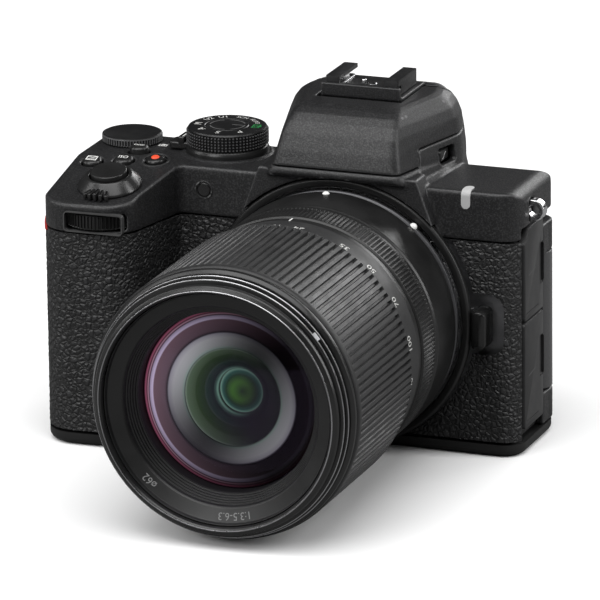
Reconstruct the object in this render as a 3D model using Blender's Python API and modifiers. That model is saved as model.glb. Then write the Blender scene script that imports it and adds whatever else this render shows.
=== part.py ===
"""A mirrorless camera with a zoom lens, as separate named parts.

Frame: X right as seen from the front, Y back, Z up. The lens axis runs along Y at X = 0, the image
plane is Y = 0 and the camera rests on Z = 0. The helpers take millimetres and build in metres.
"""

import math

import bmesh
import bpy
from mathutils import Vector

MM = 0.001
GAP = 0.3

# Body
BODY_RIGHT = 49.3
BODY_LEFT = -77.5
BODY_FRONT = -12.0
BODY_REAR = 17.5
GRIP_FRONT = -38.5
BASE_TOP = 3.5
SEAM = 59.5
DECK = 73.0
WALL = 2.0
SKIN = 0.8
SPLIT = 8.0
CAVITY_REAR = 12.7
SLOPE_START = -9.0
SLOPE = 0.2
CLEAR = 60.0

# Mount and lens, measured forwards from the image plane
LENS_Z = 37.4
FLANGE = 16.0
MOUNT_BORE = 33.8
BEZEL = 36.5
ZOOM_RADIUS = 36.5
ZOOM_FRONT = 99.4
LENS_FRONT = 107.1

# Viewfinder hump and pop-up flash
HUMP_REAR = 24.0
PIVOT_Y = 17.5
PIVOT_Z = 88.5
TOWER = 11.6
NOTCH = 12.0
LIP_TOP = 95.2
SHOE_STOP = 4.5

# Screen hinge
SWING_X = 44.3
SWING_Y = 14.2
SWING_RADIUS = 5.2
HINGE_LOW = 12.5
HINGE_HIGH = 51.2
ROOM_RIGHT = 39.6

# Controls on the top
MODE_DIAL = (-38.8, 4.2)
REAR_DIAL = (-67.3, 6.4)
SHUTTER = (-61.0, -25.5)
FRONT_DIAL = (-62.2, -28.5)

# Push buttons: name, X, Y, radius and height above the deck
TOP_BUTTONS = (
    ("shutter_button", SHUTTER[0], SHUTTER[1], 4.7, 4.6),
    ("exposure_button", -71.0, -13.4, 2.7, 0.9),
    ("iso_button", -62.8, -11.2, 2.7, 0.9),
    ("record_button", -54.2, -9.6, 2.6, 1.0),
    ("picture_button", -61.4, -3.7, 2.8, 0.8),
)

# Buttons on the back: those above the screen by X, and those beside it by X, Z and radius
TOP_ROW_Z = 67.3
TOP_ROW = (("playback_button", 27.5), ("delete_button", 36.5))
REAR_BUTTONS = (("menu_button", -47.0, 20.0, 2.9), ("info_button", -64.0, 52.0, 2.9))
SELECTOR = (-53.5, 36.5, 9.0)

# Buttons beside the grip, by Z
FUNCTION_X = -41.5
FUNCTION_BUTTONS = (43.0, 27.0)

BODY_CORNERS = [
    (BODY_RIGHT, BODY_FRONT, 6.0),
    (BODY_RIGHT, BODY_REAR, 3.0),
    (BODY_LEFT, BODY_REAR, 8.0),
    (BODY_LEFT, GRIP_FRONT, 9.0),
    (-52.0, GRIP_FRONT + 1.5, 7.0),
    (-46.5, BODY_FRONT, 6.0),
]

for old in list(bpy.data.objects):
    bpy.data.objects.remove(old, do_unlink=True)
parts = bpy.data.collections.new("camera")
cutters = bpy.data.collections.new("cutters")
bpy.context.scene.collection.children.link(parts)
bpy.context.scene.collection.children.link(cutters)
cutters.hide_render = True


def material(name, colour, roughness, metallic=0.0, transmission=0.0):
    """A Principled material, made once for each name."""
    found = bpy.data.materials.get(name)
    if found:
        return found
    made = bpy.data.materials.new(name)
    made.use_nodes = True
    shader = made.node_tree.nodes["Principled BSDF"]
    shader.inputs["Base Color"].default_value = (*colour, 1.0)
    shader.inputs["Roughness"].default_value = roughness
    shader.inputs["Metallic"].default_value = metallic
    shader.inputs["Transmission Weight"].default_value = transmission
    return made


def black_paint():
    return material("black_paint", (0.03, 0.03, 0.032), 0.5)


def leatherette():
    return material("leatherette", (0.022, 0.022, 0.023), 0.7)


def black_plastic():
    return material("black_plastic", (0.018, 0.018, 0.019), 0.45)


def black_rubber():
    return material("black_rubber", (0.02, 0.02, 0.021), 0.75)


def alloy():
    return material("alloy", (0.25, 0.25, 0.26), 0.45, 1.0)


def chrome():
    return material("chrome", (0.75, 0.75, 0.76), 0.2, 1.0)


def glass():
    return material("glass", (0.85, 0.9, 0.95), 0.02, 0.0, 0.9)


def circuit():
    return material("circuit", (0.02, 0.09, 0.04), 0.5)


def add(name, shape, finish):
    """Makes an object of a finished bmesh: a part with a finish, or a cutter without one."""
    bmesh.ops.recalc_face_normals(shape, faces=shape.faces)
    mesh = bpy.data.meshes.new(name)
    shape.to_mesh(mesh)
    shape.free()
    made = bpy.data.objects.new(name, mesh)
    if finish is None:
        cutters.objects.link(made)
        made.hide_render = True
        made.display_type = "WIRE"
        return made
    parts.objects.link(made)
    mesh.materials.append(finish)
    return made


def rounded(corners, steps=4):
    """The points of a polygon whose corners (x, y, radius) are rounded by arcs."""
    points = []
    for index, (x, y, radius) in enumerate(corners):
        here = Vector((x, y))
        back = (Vector(corners[index - 1][:2]) - here).normalized()
        ahead = (Vector(corners[(index + 1) % len(corners)][:2]) - here).normalized()
        half = back.angle(ahead) / 2
        centre = here + (back + ahead).normalized() * radius / math.sin(half)
        start = here + back * radius / math.tan(half) - centre
        end = here + ahead * radius / math.tan(half) - centre
        first = math.atan2(start.y, start.x)
        turn = (math.atan2(end.y, end.x) - first + math.pi) % (2 * math.pi) - math.pi
        for step in range(steps + 1):
            angle = first + turn * step / steps
            points.append((centre.x + radius * math.cos(angle), centre.y + radius * math.sin(angle)))
    return points


def inset(corners, depth):
    """The corners of an anticlockwise outline moved inwards by depth."""
    moved = []
    for index, (x, y, radius) in enumerate(corners):
        here = Vector((x, y))
        entry = (here - Vector(corners[index - 1][:2])).normalized()
        leave = (Vector(corners[(index + 1) % len(corners)][:2]) - here).normalized()
        first = Vector((-entry.y, entry.x))
        second = Vector((-leave.y, leave.x))
        corner = here + (first + second) * depth / (1 + first.dot(second))
        convex = entry.x * leave.y - entry.y * leave.x > 0
        moved.append((corner.x, corner.y, max(radius - depth if convex else radius + depth, 0.4)))
    return moved


def rectangle(x0, y0, x1, y1, radius):
    return [(x1, y0, radius), (x1, y1, radius), (x0, y1, radius), (x0, y0, radius)]


def place(a, b, height, axis):
    """A point of an outline (a, b) at a height along an axis."""
    if axis == "X":
        return (height * MM, a * MM, b * MM)
    if axis == "Y":
        return (a * MM, height * MM, b * MM)
    return (a * MM, b * MM, height * MM)


def loft(name, rings, finish=None, axis="Z"):
    """A solid through outlines of equal point count, each given with its height along the axis."""
    shape = bmesh.new()
    loops = [[shape.verts.new(place(a, b, height, axis)) for a, b in ring] for ring, height in rings]
    for low, high in zip(loops, loops[1:]):
        for index in range(len(low)):
            shape.faces.new((low[index - 1], low[index], high[index], high[index - 1]))
    shape.faces.new(loops[0])
    shape.faces.new(loops[-1])
    return add(name, shape, finish)


def prism(name, outline, low, high, finish=None, axis="Z"):
    return loft(name, [(outline, low), (outline, high)], finish, axis)


def box(name, low, high, finish=None, bevel=0.0):
    """A block between two corners, with bevelled edges where asked."""
    shape = bmesh.new()
    bmesh.ops.create_cube(shape, size=1.0)
    for vert in shape.verts:
        for k in range(3):
            vert.co[k] = ((low[k] + high[k]) / 2 + vert.co[k] * (high[k] - low[k])) * MM
    if bevel:
        bmesh.ops.bevel(shape, geom=shape.edges[:], offset=bevel * MM, segments=1, affect="EDGES")
    return add(name, shape, finish)


def turned(name, profile, centre, finish=None, axis="Z", steps=28, tilt=0.0):
    """A turned shape of a profile (radius, height), around an axis through a centre.

    Axis "Y" turns round a line that points forwards, "B" round one that points backwards and "X" round
    one that points to the right.
    A profile that doesn't start on its axis closes on itself. It runs down its outer side.
    """
    shape = bmesh.new()
    points = [shape.verts.new((radius * MM, 0.0, height * MM)) for radius, height in profile]
    for first, second in zip(points, points[1:]):
        shape.edges.new((first, second))
    if profile[0][0] > 0:
        shape.edges.new((points[-1], points[0]))
    mesh = bpy.data.meshes.new(name)
    shape.to_mesh(mesh)
    shape.free()
    made = bpy.data.objects.new(name, mesh)
    (parts if finish else cutters).objects.link(made)
    if finish:
        mesh.materials.append(finish)
    else:
        made.hide_render = True
        made.display_type = "WIRE"
    made.location = Vector(centre) * MM
    made.rotation_euler = {
        "Z": (tilt, 0.0, 0.0),
        "Y": (math.pi / 2, 0.0, 0.0),
        "B": (-math.pi / 2, 0.0, 0.0),
        "X": (0.0, math.pi / 2, 0.0),
    }[axis]
    screw = made.modifiers.new("turn", "SCREW")
    screw.axis = "Z"
    screw.steps = steps
    screw.render_steps = steps
    screw.use_merge_vertices = True
    screw.merge_threshold = 0.00001
    return made


def drum(radius, low, high, edge=0.0):
    """The profile of a plain cylinder with a chamfered top edge."""
    if edge:
        return [(0, high), (radius - edge, high), (radius, high - edge), (radius, low), (0, low)]
    return [(0, high), (radius, high), (radius, low), (0, low)]


def ring(outer, inner, low, high):
    """The profile of a plain ring."""
    return [(outer, high), (outer, low), (inner, low), (inner, high)]


def boolean(target, other, operation):
    made = target.modifiers.new(other.name, "BOOLEAN")
    made.operation = operation
    made.solver = "EXACT"
    made.object = other


def cut(target, *others):
    for other in others:
        boolean(target, other, "DIFFERENCE")


def join(target, *others):
    for other in others:
        boolean(target, other, "UNION")


def keep(target, other):
    boolean(target, other, "INTERSECT")


def deck(y):
    """The height of the top deck, which slopes down over the grip."""
    return DECK + SLOPE * min(0.0, y - SLOPE_START)


TILT = math.atan(SLOPE)


def body_solid(name, low, high, depth, drop, finish=None, corners=None):
    """The body's outline between two heights, moved inwards, with the deck's slope cut off its top."""
    outline = rounded(inset(corners or BODY_CORNERS, depth))
    made = prism(name, outline, low, high, finish)
    top = DECK + CLEAR
    wedge = [
        (SLOPE_START, DECK - drop),
        (SLOPE_START - CLEAR, DECK - drop - SLOPE * CLEAR),
        (SLOPE_START - CLEAR, top),
        (SLOPE_START, top),
    ]
    cut(made, prism(name + "_slope", wedge, -120, 120, axis="X"))
    return made


def hump_ring(z, half, front, rear, radius):
    return rounded(rectangle(-half, front, half, rear, radius)), z


def hump_solid(name, depth, finish=None):
    """The viewfinder hump, moved inwards by depth."""
    rings = [
        hump_ring(60.0, 23.0 - depth, -12.5 + depth, HUMP_REAR - depth, 4.0 - depth / 2),
        hump_ring(75.2, 22.4 - depth, -16.9 + depth, HUMP_REAR - depth, 4.0 - depth / 2),
        hump_ring(77.3, 21.3 - depth, -14.8 + depth, HUMP_REAR - depth, 4.0 - depth / 2),
        hump_ring(90.4 - depth, 16.9 - depth, -3.4 + depth, HUMP_REAR - depth, 4.0 - depth / 2),
        hump_ring(92.0 - depth, 15.2 - depth, -1.2 + depth, HUMP_REAR - 1.5 - depth, 3.0 - depth / 2),
    ]
    return loft(name, rings, finish)


def flash_region(name, grow):
    """The space of the pop-up flash, as a side view. Its rear end is round about the pivot."""
    outline = [
        (-30.0, 77.2 - grow),
        (-12.2, 77.2 - grow),
        (-7.0, 81.6 - grow),
        (18.8, 81.6 - grow),
        (21.0 + grow, 84.0 - grow),
        (21.1 + grow, 88.5),
        (20.0 + grow, 91.0 + grow),
        (18.3 + grow, 92.0 + grow),
        (17.8 + grow, 99.0),
        (-30.0, 99.0),
    ]
    return prism(name, outline, -40, 40, axis="X")


def front_cover():
    made = body_solid("front_cover", BASE_TOP + GAP, SEAM - GAP / 2, SKIN + GAP, 0.0, black_paint())
    bezel = turned("bezel", drum(BEZEL, 9.5, FLANGE - 0.3), (0, 0, LENS_Z), None, "Y", 48)
    cut(bezel, box("bezel_under", (-60, -40, -9), (60, 10, BASE_TOP + GAP)))
    join(made, bezel)
    lobe = rounded(rectangle(30, 28.7, 44.7, 44.8, 4.0))
    join(made, prism("lobe", lobe, -13.4, -9.5, axis="Y"))
    inside = rounded(inset(BODY_CORNERS, 3.0))
    cut(made, prism("front_inside", inside, -10, 80))
    cut(made, turned("mount_bore", drum(MOUNT_BORE, 0, 30), (0, 0, LENS_Z), None, "Y", 48))
    cut(made, box("front_behind", (-90, SPLIT - GAP / 2, -9), (90, 60, 90)))
    cut(made, box("door_recess", (47.3, -8.3, 6.7), (60, SPLIT + 9, 55.0)))
    cut(made, box("release_pocket", (36.8, -30, 30.3), (41.9, 0, 41.9)))
    for number, height in enumerate(FUNCTION_BUTTONS):
        hole = drum(3.6, 0, 30)
        cut(made, turned(f"function_hole_{number}", hole, (FUNCTION_X, 0, height), None, "Y", 20))
    return made


def covering(name, x_low, x_high):
    """A leatherette sheet on the front cover."""
    made = prism(name, rounded(BODY_CORNERS), BASE_TOP + 0.7, SEAM - 0.3, leatherette())
    cut(made, prism(name + "_in", rounded(inset(BODY_CORNERS, SKIN)), -10, 80))
    cut(made, turned(name + "_round", drum(BEZEL + 0.6, 0, 60), (0, 0, LENS_Z), None, "Y", 48))
    cut(made, box(name + "_behind", (-90, SPLIT - 0.3, -9), (90, 60, 90)))
    cut(made, box(name + "_a", (x_high, -60, -9), (x_high + 150, 60, 90)))
    cut(made, box(name + "_b", (x_low - 150, -60, -9), (x_low, 60, 90)))
    return made


def coverings():
    grip = covering("grip_leatherette", -100, 0)
    for number, height in enumerate(FUNCTION_BUTTONS):
        hole = drum(3.8, 0, 30)
        cut(grip, turned(f"grip_hole_{number}", hole, (FUNCTION_X, 0, height), None, "Y", 20))
    front = covering("front_leatherette", 0, 100)
    cut(front, prism("lobe_room", rounded(rectangle(20, 28.2, 45.2, 45.3, 4.5)), -20, -5, axis="Y"))
    cut(front, box("door_room", (47.0, -8.8, 6.3), (60, 60, 62)))


def top_cover():
    made = body_solid("top_cover", SEAM + GAP / 2, DECK, 0.0, 0.0, black_paint())
    join(made, hump_solid("hump", 0.0))
    cavity = [(x, CAVITY_REAR if y > 0 else y, r) for x, y, r in inset(BODY_CORNERS, WALL)]
    cut(made, body_solid("top_inside", 40, DECK - WALL, 0.0, WALL, None, cavity))
    cut(made, hump_solid("hump_inside", WALL))
    cut(made, flash_region("flash_well", GAP))
    cut(made, box("tower_room", (-TOWER - 0.4, 0, 84), (TOWER + 0.4, 21.1, 99)))
    cut(made, box("hump_below", (-60, -60, 50), (60, 60, SEAM + GAP / 2)))
    cut(made, turned("bezel_room", drum(BEZEL + 0.3, 9.0, 40), (0, 0, LENS_Z), None, "Y", 48))
    cut(made, box("eyepiece_hole", (-10.3, 19, 75.7), (10.3, 40, 86.3)))
    cut(made, box("screen_room_top", (-31.8, 14.7, 50), (ROOM_RIGHT, 40, 63.6)))
    cut(made, box("hinge_room_top", (38.0, 9, 50), (60, 40, SEAM + GAP / 2)))
    cut(made, box("flash_button_hole", (18.5, 2.2, 75.0), (26, 9.8, 79.3)))
    cut(made, box("front_dial_window", (-71.4, -50, 60.3), (-53.1, -34, 64.9)))
    cut(made, turned("front_dial_room", drum(10.4, 60.3, 64.9), (*FRONT_DIAL, 0), None, "Z", 36))
    for x, name in ((BODY_RIGHT, "right"), (BODY_LEFT, "left")):
        cut(made, box(f"lug_slot_{name}", (x - 4, -2.9, 63.1), (x + 4, 0.9, 69.7)))
    cut(made, turned("mode_shaft_hole", drum(3.3, 60, 80), (*MODE_DIAL, 0), None, "Z", 20))
    cut(made, turned("rear_shaft_hole", drum(3.3, 60, 80), (*REAR_DIAL, 0), None, "Z", 20))
    for name, x, y, radius, _ in TOP_BUTTONS:
        hole = drum(radius + GAP, -20, 20)
        cut(made, turned(name + "_hole", hole, (x, y, deck(y)), None, "Z", 20, TILT if y < SLOPE_START else 0))
    for name, x in TOP_ROW:
        cut(made, turned(name + "_hole", drum(3.2, 13.5, 30), (x, 0, TOP_ROW_Z), None, "B", 20))
    return made


def top_controls():
    for name, x, y, radius, rise in TOP_BUTTONS:
        tilt = TILT if y < SLOPE_START else 0.0
        profile = drum(radius, -3.2, rise, 0.5)
        turned(name, profile, (x, y, deck(y)), black_plastic(), "Z", 24, tilt)
    centre = (*SHUTTER, deck(SHUTTER[1]))
    switch_profile = [(6.4, 3.0), (8.2, 0.4), (8.2, 0.3), (5.1, 0.3), (5.1, 3.0)]
    switch = turned("power_switch", switch_profile, centre, black_plastic(), "Z", 36, TILT)
    tab = box("power_tab", (-66.6, -34.9, 68.6), (-63.0, -32.1, 70.8))
    join(switch, tab)
    dial = [(0, 80), (9.9, 80), (10.7, 79.2), (10.7, 75.9), (3, 75.9), (3, 66), (0, 66)]
    turned("mode_dial", dial, (*MODE_DIAL, 0), black_plastic(), "Z", 40)
    lever = turned("photo_video_lever", ring(10.9, 4.0, 73.5, 75.5), (*MODE_DIAL, 0), black_plastic(), "Z", 32)
    join(lever, box("lever_tab", (-55.2, 1.2, 73.6), (-48.6, 6.0, 75.4)))
    join(lever, box("lever_tip", (-55.1, 1.3, 75.0), (-50.3, 5.9, 77.0)))
    dial = [(0, 75.5), (7.6, 75.5), (8.2, 75.0), (8.2, 73.4), (3, 73.4), (3, 66), (0, 66)]
    turned("rear_dial", dial, (*REAR_DIAL, 0), black_plastic(), "Z", 36)
    turned("front_dial", drum(10.0, 60.7, 64.5), (*FRONT_DIAL, 0), black_plastic(), "Z", 36)


def rear_cover():
    made = body_solid("rear_cover", BASE_TOP + GAP, SEAM - GAP / 2, 0.0, 0.0, black_paint())
    cavity = [(x, CAVITY_REAR if y > 0 else y, r) for x, y, r in inset(BODY_CORNERS, WALL)]
    cavity = [(min(x, 36.5), y, r) for x, y, r in cavity]
    cut(made, prism("rear_inside", rounded(cavity), BASE_TOP + WALL, SEAM - WALL))
    cut(made, box("rear_before", (-90, -60, -9), (90, SPLIT + GAP / 2, 90)))
    for name, low, high in (("foot", BASE_TOP + GAP, HINGE_LOW), ("head", HINGE_HIGH, SEAM - GAP / 2)):
        join(made, turned("hinge_" + name, drum(SWING_RADIUS, low, high), (SWING_X, SWING_Y, 0), None, "Z", 32))
    cut(made, box("screen_room", (-31.8, 14.7, 6.5), (ROOM_RIGHT, 40, 90)))
    cut(made, box("hinge_room", (38.9, 8.4, HINGE_LOW), (60, 40, HINGE_HIGH)))
    x, z, radius = SELECTOR
    cut(made, turned("selector_pocket", drum(radius + GAP, 13.6, 30), (x, 0, z), None, "B", 32))
    for name, x, z, radius in REAR_BUTTONS:
        cut(made, turned(name + "_pocket", drum(radius + GAP, 13.6, 30), (x, 0, z), None, "B", 20))
    return made


def rear_controls():
    x, z, radius = SELECTOR
    turned("multi_selector", drum(radius, 14.4, 18.6, 0.5), (x, 0, z), black_plastic(), "B", 32)
    for name, x, z, radius in REAR_BUTTONS:
        turned(name, drum(radius, 14.4, 18.2, 0.4), (x, 0, z), black_plastic(), "B", 20)
    for name, x in TOP_ROW:
        turned(name, drum(2.9, 14.4, 18.2, 0.4), (x, 0, TOP_ROW_Z), black_plastic(), "B", 20)


def screen():
    barrel = drum(SWING_RADIUS, HINGE_LOW + GAP, HINGE_HIGH - GAP)
    hinge = turned("screen_hinge", barrel, (SWING_X, SWING_Y, 0), black_paint(), "Z", 32)
    join(hinge, box("screen_neck", (36.5, 15.1, 16.0), (SWING_X, 19.2, 48.0)))
    panel = box("screen_panel", (-31.2, 15.0, 7.0), (38.3, 19.4, 63.0), black_plastic(), 0.8)
    cut(panel, box("neck_slot", (36.1, 10, 15.6), (60, 30, 48.4)))


def bottom_cover():
    low = rounded(inset(BODY_CORNERS, 1.6))
    full = rounded(BODY_CORNERS)
    made = loft("bottom_cover", [(low, 0.0), (full, 1.6), (full, BASE_TOP)], black_plastic())
    cut(made, box("battery_mouth", (-74.9, -33.8, -5), (-51.9, -1.7, 9)))
    cut(made, turned("tripod_hole", drum(3.2, -5, 9), (0, 6.5, 0), None, "Z", 24))
    door = box("battery_door", (-74.5, -33.4, 0.0), (-53.5, -2.1, 1.9), black_plastic())
    join(door, turned("door_knuckle", drum(1.2, 4.0, 31.4), (-53.5, 0, 1.2), None, "Y", 16))
    cut(door, box("latch_slot", (-73.4, -22.4, -5), (-66.6, -13.6, 9)))
    box("battery_latch", (-73.1, -22.0, 0.2), (-69.0, -14.0, 1.7), black_plastic())
    return made


def insides():
    chassis = box("chassis_frame", (-44, -8.7, 5.5), (44, -6.4, 58.5), alloy())
    join(chassis, turned("mount_seat", ring(33.0, 28.0, 7.0, 13.3), (0, 0, LENS_Z), None, "Y", 48))
    cut(chassis, turned("throat", drum(28.0, 0, 30), (0, 0, LENS_Z), None, "Y", 48))
    turned("body_mount_ring", ring(33.5, 27.6, 13.6, FLANGE), (0, 0, LENS_Z), chrome(), "Y", 48)
    shutter = box("shutter_frame", (-22, -5.9, 17.5), (22, -4.7, 66.0), black_plastic())
    cut(shutter, box("shutter_window", (-12.6, -9, 28.9), (12.6, 0, 45.9)))
    box("shutter_curtain", (-14.5, -4.3, 46.8), (14.5, -3.8, 64.4), black_plastic())
    sensor = box("sensor_unit", (-20, 0.3, 22), (20, 2.6, 53), circuit())
    join(sensor, box("sensor_chip", (-12.4, -0.6, 29.0), (12.4, 1.0, 45.8)))
    box("main_board", (-44, 5.0, 8), (35.5, 6.4, 56), circuit())
    box("battery", (-73.2, -33.0, 2.6), (-57.7, -2.6, 42.0), black_plastic(), 0.8)
    box("memory_card", (-56.6, -30.5, 2.6), (-54.5, -6.5, 34.6), black_plastic())


def viewfinder():
    tower = box("evf_housing", (-TOWER, 2.6, 74.0), (TOWER, 20.7, 92.4), black_plastic())
    join(tower, box("tower_lip", (-11.2, 2.1, 92.0), (11.2, 3.3, LIP_TOP)))
    cut(tower, box("tower_inside", (-9.8, 4.4, 60), (9.8, 40, 87.6)))
    pin = turned("flash_pins", drum(1.1, -14.0, 14.0), (0, PIVOT_Y, PIVOT_Z), None, "X", 16)
    cut(pin, box("pin_gap", (-11, 0, 70), (11, 40, 99)))
    join(tower, pin)
    module = box("evf_module", (-9.3, 6.0, 75.5), (9.3, 14.0, 87.0), black_plastic())
    join(module, turned("evf_barrel", drum(5.5, 13.0, 20.2), (0, 0, 81.0), None, "B", 24))
    box("eyepiece_lens", (-9.3, 20.6, 76.7), (9.3, 23.4, 85.3), glass(), 0.8)
    cup = rounded(rectangle(-17.5, 73.4, 17.5, 91.0, 5.0))
    rim = rounded(rectangle(-16.6, 74.2, 16.6, 90.2, 4.4))
    eyecup = loft("eyecup", [(cup, 24.3), (cup, 26.2), (rim, 27.4)], black_rubber(), "Y")
    hole = rounded(rectangle(-10.0, 76.0, 10.0, 86.0, 2.0))
    wide = rounded(rectangle(-12.5, 75.2, 12.5, 88.0, 3.0))
    cut(eyecup, loft("eyecup_hole", [(hole, 23.0), (hole, 24.6), (wide, 27.6)], None, "Y"))


def hot_shoe():
    made = box("hot_shoe", (-10.4, 3.6, 92.7), (10.4, 18.2, 96.8), alloy())
    cut(made, box("shoe_slot", (-8.9, SHOE_STOP, 93.4), (8.9, 40, 95.3)))
    cut(made, box("shoe_gap", (-6.5, SHOE_STOP, 93.4), (6.5, 40, 99)))
    cut(made, box("shoe_front", (-6.5, 0, LIP_TOP), (6.5, 10, 99)))


def flash():
    cap = hump_solid("flash_cap", 0.0, black_paint())
    keep(cap, flash_region("flash_bounds", 0.0))
    cut(cap, hump_solid("cap_inside", 1.8))
    cut(cap, box("shoe_notch", (-NOTCH, 0.4, 60), (NOTCH, 40, 99)))
    for side in (-1, 1):
        ear = turned(f"cap_ear_{side}", drum(3.3, 12.4, 16.0), (0, PIVOT_Y, PIVOT_Z), None, "X", 20)
        if side < 0:
            ear.rotation_euler = (0.0, -math.pi / 2, 0.0)
        join(cap, ear)
    cut(cap, turned("pin_hole", drum(1.4, -14.4, 14.4), (0, PIVOT_Y, PIVOT_Z), None, "X", 16))
    box("flash_window", (-12.5, -2.9, 82.4), (12.5, -0.5, 86.0), glass())
    box("flash_button", (19.2, 2.6, 75.4), (22.4, 9.4, 78.9), black_plastic(), 0.5)


def side_fittings():
    box("port_door_upper", (47.7, -7.9, 37.0), (49.6, 7.3, 54.6), black_rubber(), 0.4)
    box("port_door_lower", (47.7, -7.9, 7.1), (49.6, 7.3, 36.6), black_rubber(), 0.4)
    for name, root, tip in (("strap_lug_right", 46.6, 53.2), ("strap_lug_left", -74.9, -80.6)):
        low, high = sorted((root, tip))
        outline = rounded(rectangle(low, 63.4, high, 69.4, 2.6))
        lug = prism(name, outline, -2.6, 0.6, chrome(), "Y")
        hole_x = tip - math.copysign(2.7, tip)
        cut(lug, turned(name + "_eye", drum(1.6, -5, 5), (hole_x, 0, 66.4), None, "Y", 20))
    box("lens_release_button", (37.1, -16.2, 30.6), (41.6, -10.2, 41.6), black_plastic(), 0.9)
    for number, height in enumerate(FUNCTION_BUTTONS):
        name = f"function_button_{number + 1}"
        turned(name, drum(3.2, 10.0, 13.2, 0.4), (FUNCTION_X, 0, height), black_plastic(), "Y", 24)


def lens_part(name, profile, finish, steps=48):
    return turned(name, profile, (0, 0, LENS_Z), finish, "Y", steps)


def lens():
    plate = [(33.6, 18.2), (33.6, FLANGE + GAP), (27.2, FLANGE + GAP), (27.2, 11.0), (23.5, 11.0), (23.5, 18.2)]
    lens_part("lens_mount_plate", plate, chrome(), 48)
    barrel = [
        (34.4, 36.2),
        (34.7, 23.0),
        (33.8, 18.5),
        (31.6, 18.5),
        (31.6, 48.9),
        (34.4, 48.9),
        (34.4, 46.6),
        (32.6, 46.6),
        (32.6, 36.2),
    ]
    lens_part("lens_rear_barrel", barrel, black_plastic())
    lens_part("control_ring", ring(34.7, 32.9, 36.5, 46.3), black_plastic())
    zoom = [
        (35.8, ZOOM_FRONT),
        (ZOOM_RADIUS, ZOOM_FRONT - 0.8),
        (ZOOM_RADIUS, 59.8),
        (34.6, 59.0),
        (34.6, 49.2),
        (33.2, 49.2),
        (33.2, ZOOM_FRONT),
    ]
    lens_part("zoom_ring", zoom, black_rubber())
    front = [
        (32.0, LENS_FRONT),
        (33.6, 104.0),
        (35.8, 102.2),
        (35.8, ZOOM_FRONT + 0.5),
        (32.6, ZOOM_FRONT + 0.5),
        (32.6, 51.5),
        (30.8, 51.5),
        (30.8, 106.0),
        (30.2, LENS_FRONT),
    ]
    lens_part("front_barrel", front, black_plastic())
    trim = [(30.4, 105.2), (30.4, 98.6), (21.9, 98.6), (21.9, 99.6), (24.5, 103.6), (29.0, 104.4)]
    lens_part("filter_ring", trim, black_plastic(), 40)
    dome = [(0, 98.2)]
    dome += [(21.4 * step / 5, 98.2 - 3.0 * (step / 5) ** 2) for step in range(1, 6)]
    lens_part("front_glass", dome + [(21.4, 93.4), (0, 93.4)], glass(), 36)
    lens_part("lens_guide_tube", ring(30.2, 28.8, 20.0, 91.5), alloy(), 40)
    lens_part("zoom_group", [(0, 61), (14, 60), (24, 60), (24, 50), (14, 50), (0, 51)], glass(), 32)
    lens_part("aperture_unit", ring(24, 7.5, 38.5, 42.5), black_plastic(), 32)
    lens_part("focus_group", [(0, 33), (16, 32), (16, 28.5), (0, 28.5)], glass(), 32)
    lens_part("rear_glass", [(0, 23.5), (16, 22.5), (16, 19.0), (0, 19.0)], glass(), 32)


def finish_surfaces():
    """Round surfaces shade smooth, and edges over 30 degrees stay sharp."""
    for made in parts.objects:
        made.data.shade_smooth()
        made.data.set_sharp_from_angle(angle=math.radians(30))


front_cover()
coverings()
top_cover()
top_controls()
rear_cover()
rear_controls()
screen()
bottom_cover()
insides()
viewfinder()
hot_shoe()
flash()
side_fittings()
lens()
finish_surfaces()
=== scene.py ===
import functools
import math

import bmesh
import bpy
import numpy as np
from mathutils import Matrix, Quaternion, Vector, noise


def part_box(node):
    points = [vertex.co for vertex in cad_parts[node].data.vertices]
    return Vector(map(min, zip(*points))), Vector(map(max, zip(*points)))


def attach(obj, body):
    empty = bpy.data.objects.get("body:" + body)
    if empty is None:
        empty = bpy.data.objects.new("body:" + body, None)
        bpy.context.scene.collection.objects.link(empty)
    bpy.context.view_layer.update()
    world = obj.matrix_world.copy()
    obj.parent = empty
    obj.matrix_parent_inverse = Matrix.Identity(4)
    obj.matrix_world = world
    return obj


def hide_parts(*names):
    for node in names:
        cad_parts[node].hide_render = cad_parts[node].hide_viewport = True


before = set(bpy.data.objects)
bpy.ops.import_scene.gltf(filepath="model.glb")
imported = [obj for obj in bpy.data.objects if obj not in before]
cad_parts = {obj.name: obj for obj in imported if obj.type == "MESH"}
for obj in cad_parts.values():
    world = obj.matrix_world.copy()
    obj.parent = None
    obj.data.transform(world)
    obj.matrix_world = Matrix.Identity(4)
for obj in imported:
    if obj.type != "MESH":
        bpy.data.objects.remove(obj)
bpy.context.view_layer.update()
MM = 0.001
LENS = tuple(value / MM for value in (np.add(*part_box("lens_rear_barrel")) / 2))
LENS_Z = LENS[2]

# View
VIEW_AZIMUTH = 20.79
VIEW_ELEVATION = 16.95
VIEW_ROLL = -0.66
VIEW_DISTANCE = 1.90173
VIEW_TARGET = Vector((-0.01090, -0.016, 0.03982))
VIEW_LENS = 428.6

# Body
BODY_CORNERS = [
    (49.3, -12.0, 6.0),
    (49.3, 17.5, 3.5),
    (-77.5, 17.5, 8.0),
    (-77.5, -38.5, 9.0),
    (-52.0, -37.4, 9.0),
    (-46.2, -12.0, 2.2),
]
SEAM = 59.5
DECK = 73.0
SLOPE_START = -9.0
SLOPE = 0.2
TILT = math.atan(SLOPE)
FOCUS_LAMP = (-39.5, 0, 66.7)


def deck(y):
    """The height of the top deck, which slopes down over the grip."""
    return DECK + SLOPE * min(0.0, y - SLOPE_START)


# ---- Making meshes ----


def middle(node):
    """The centre of a part of the frame, in millimetres."""
    low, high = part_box(node)
    return [(a + b) / 2 / MM for a, b in zip(low, high)]


def piece(name, mesh, finish, body, replaced=(), sharp=35.0):
    """A mesh as a visible piece that rides on a body and has a finish."""
    made = bpy.data.objects.new(name, mesh)
    bpy.context.scene.collection.objects.link(made)
    dress(made, finish, body, replaced, sharp)
    return made


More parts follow.
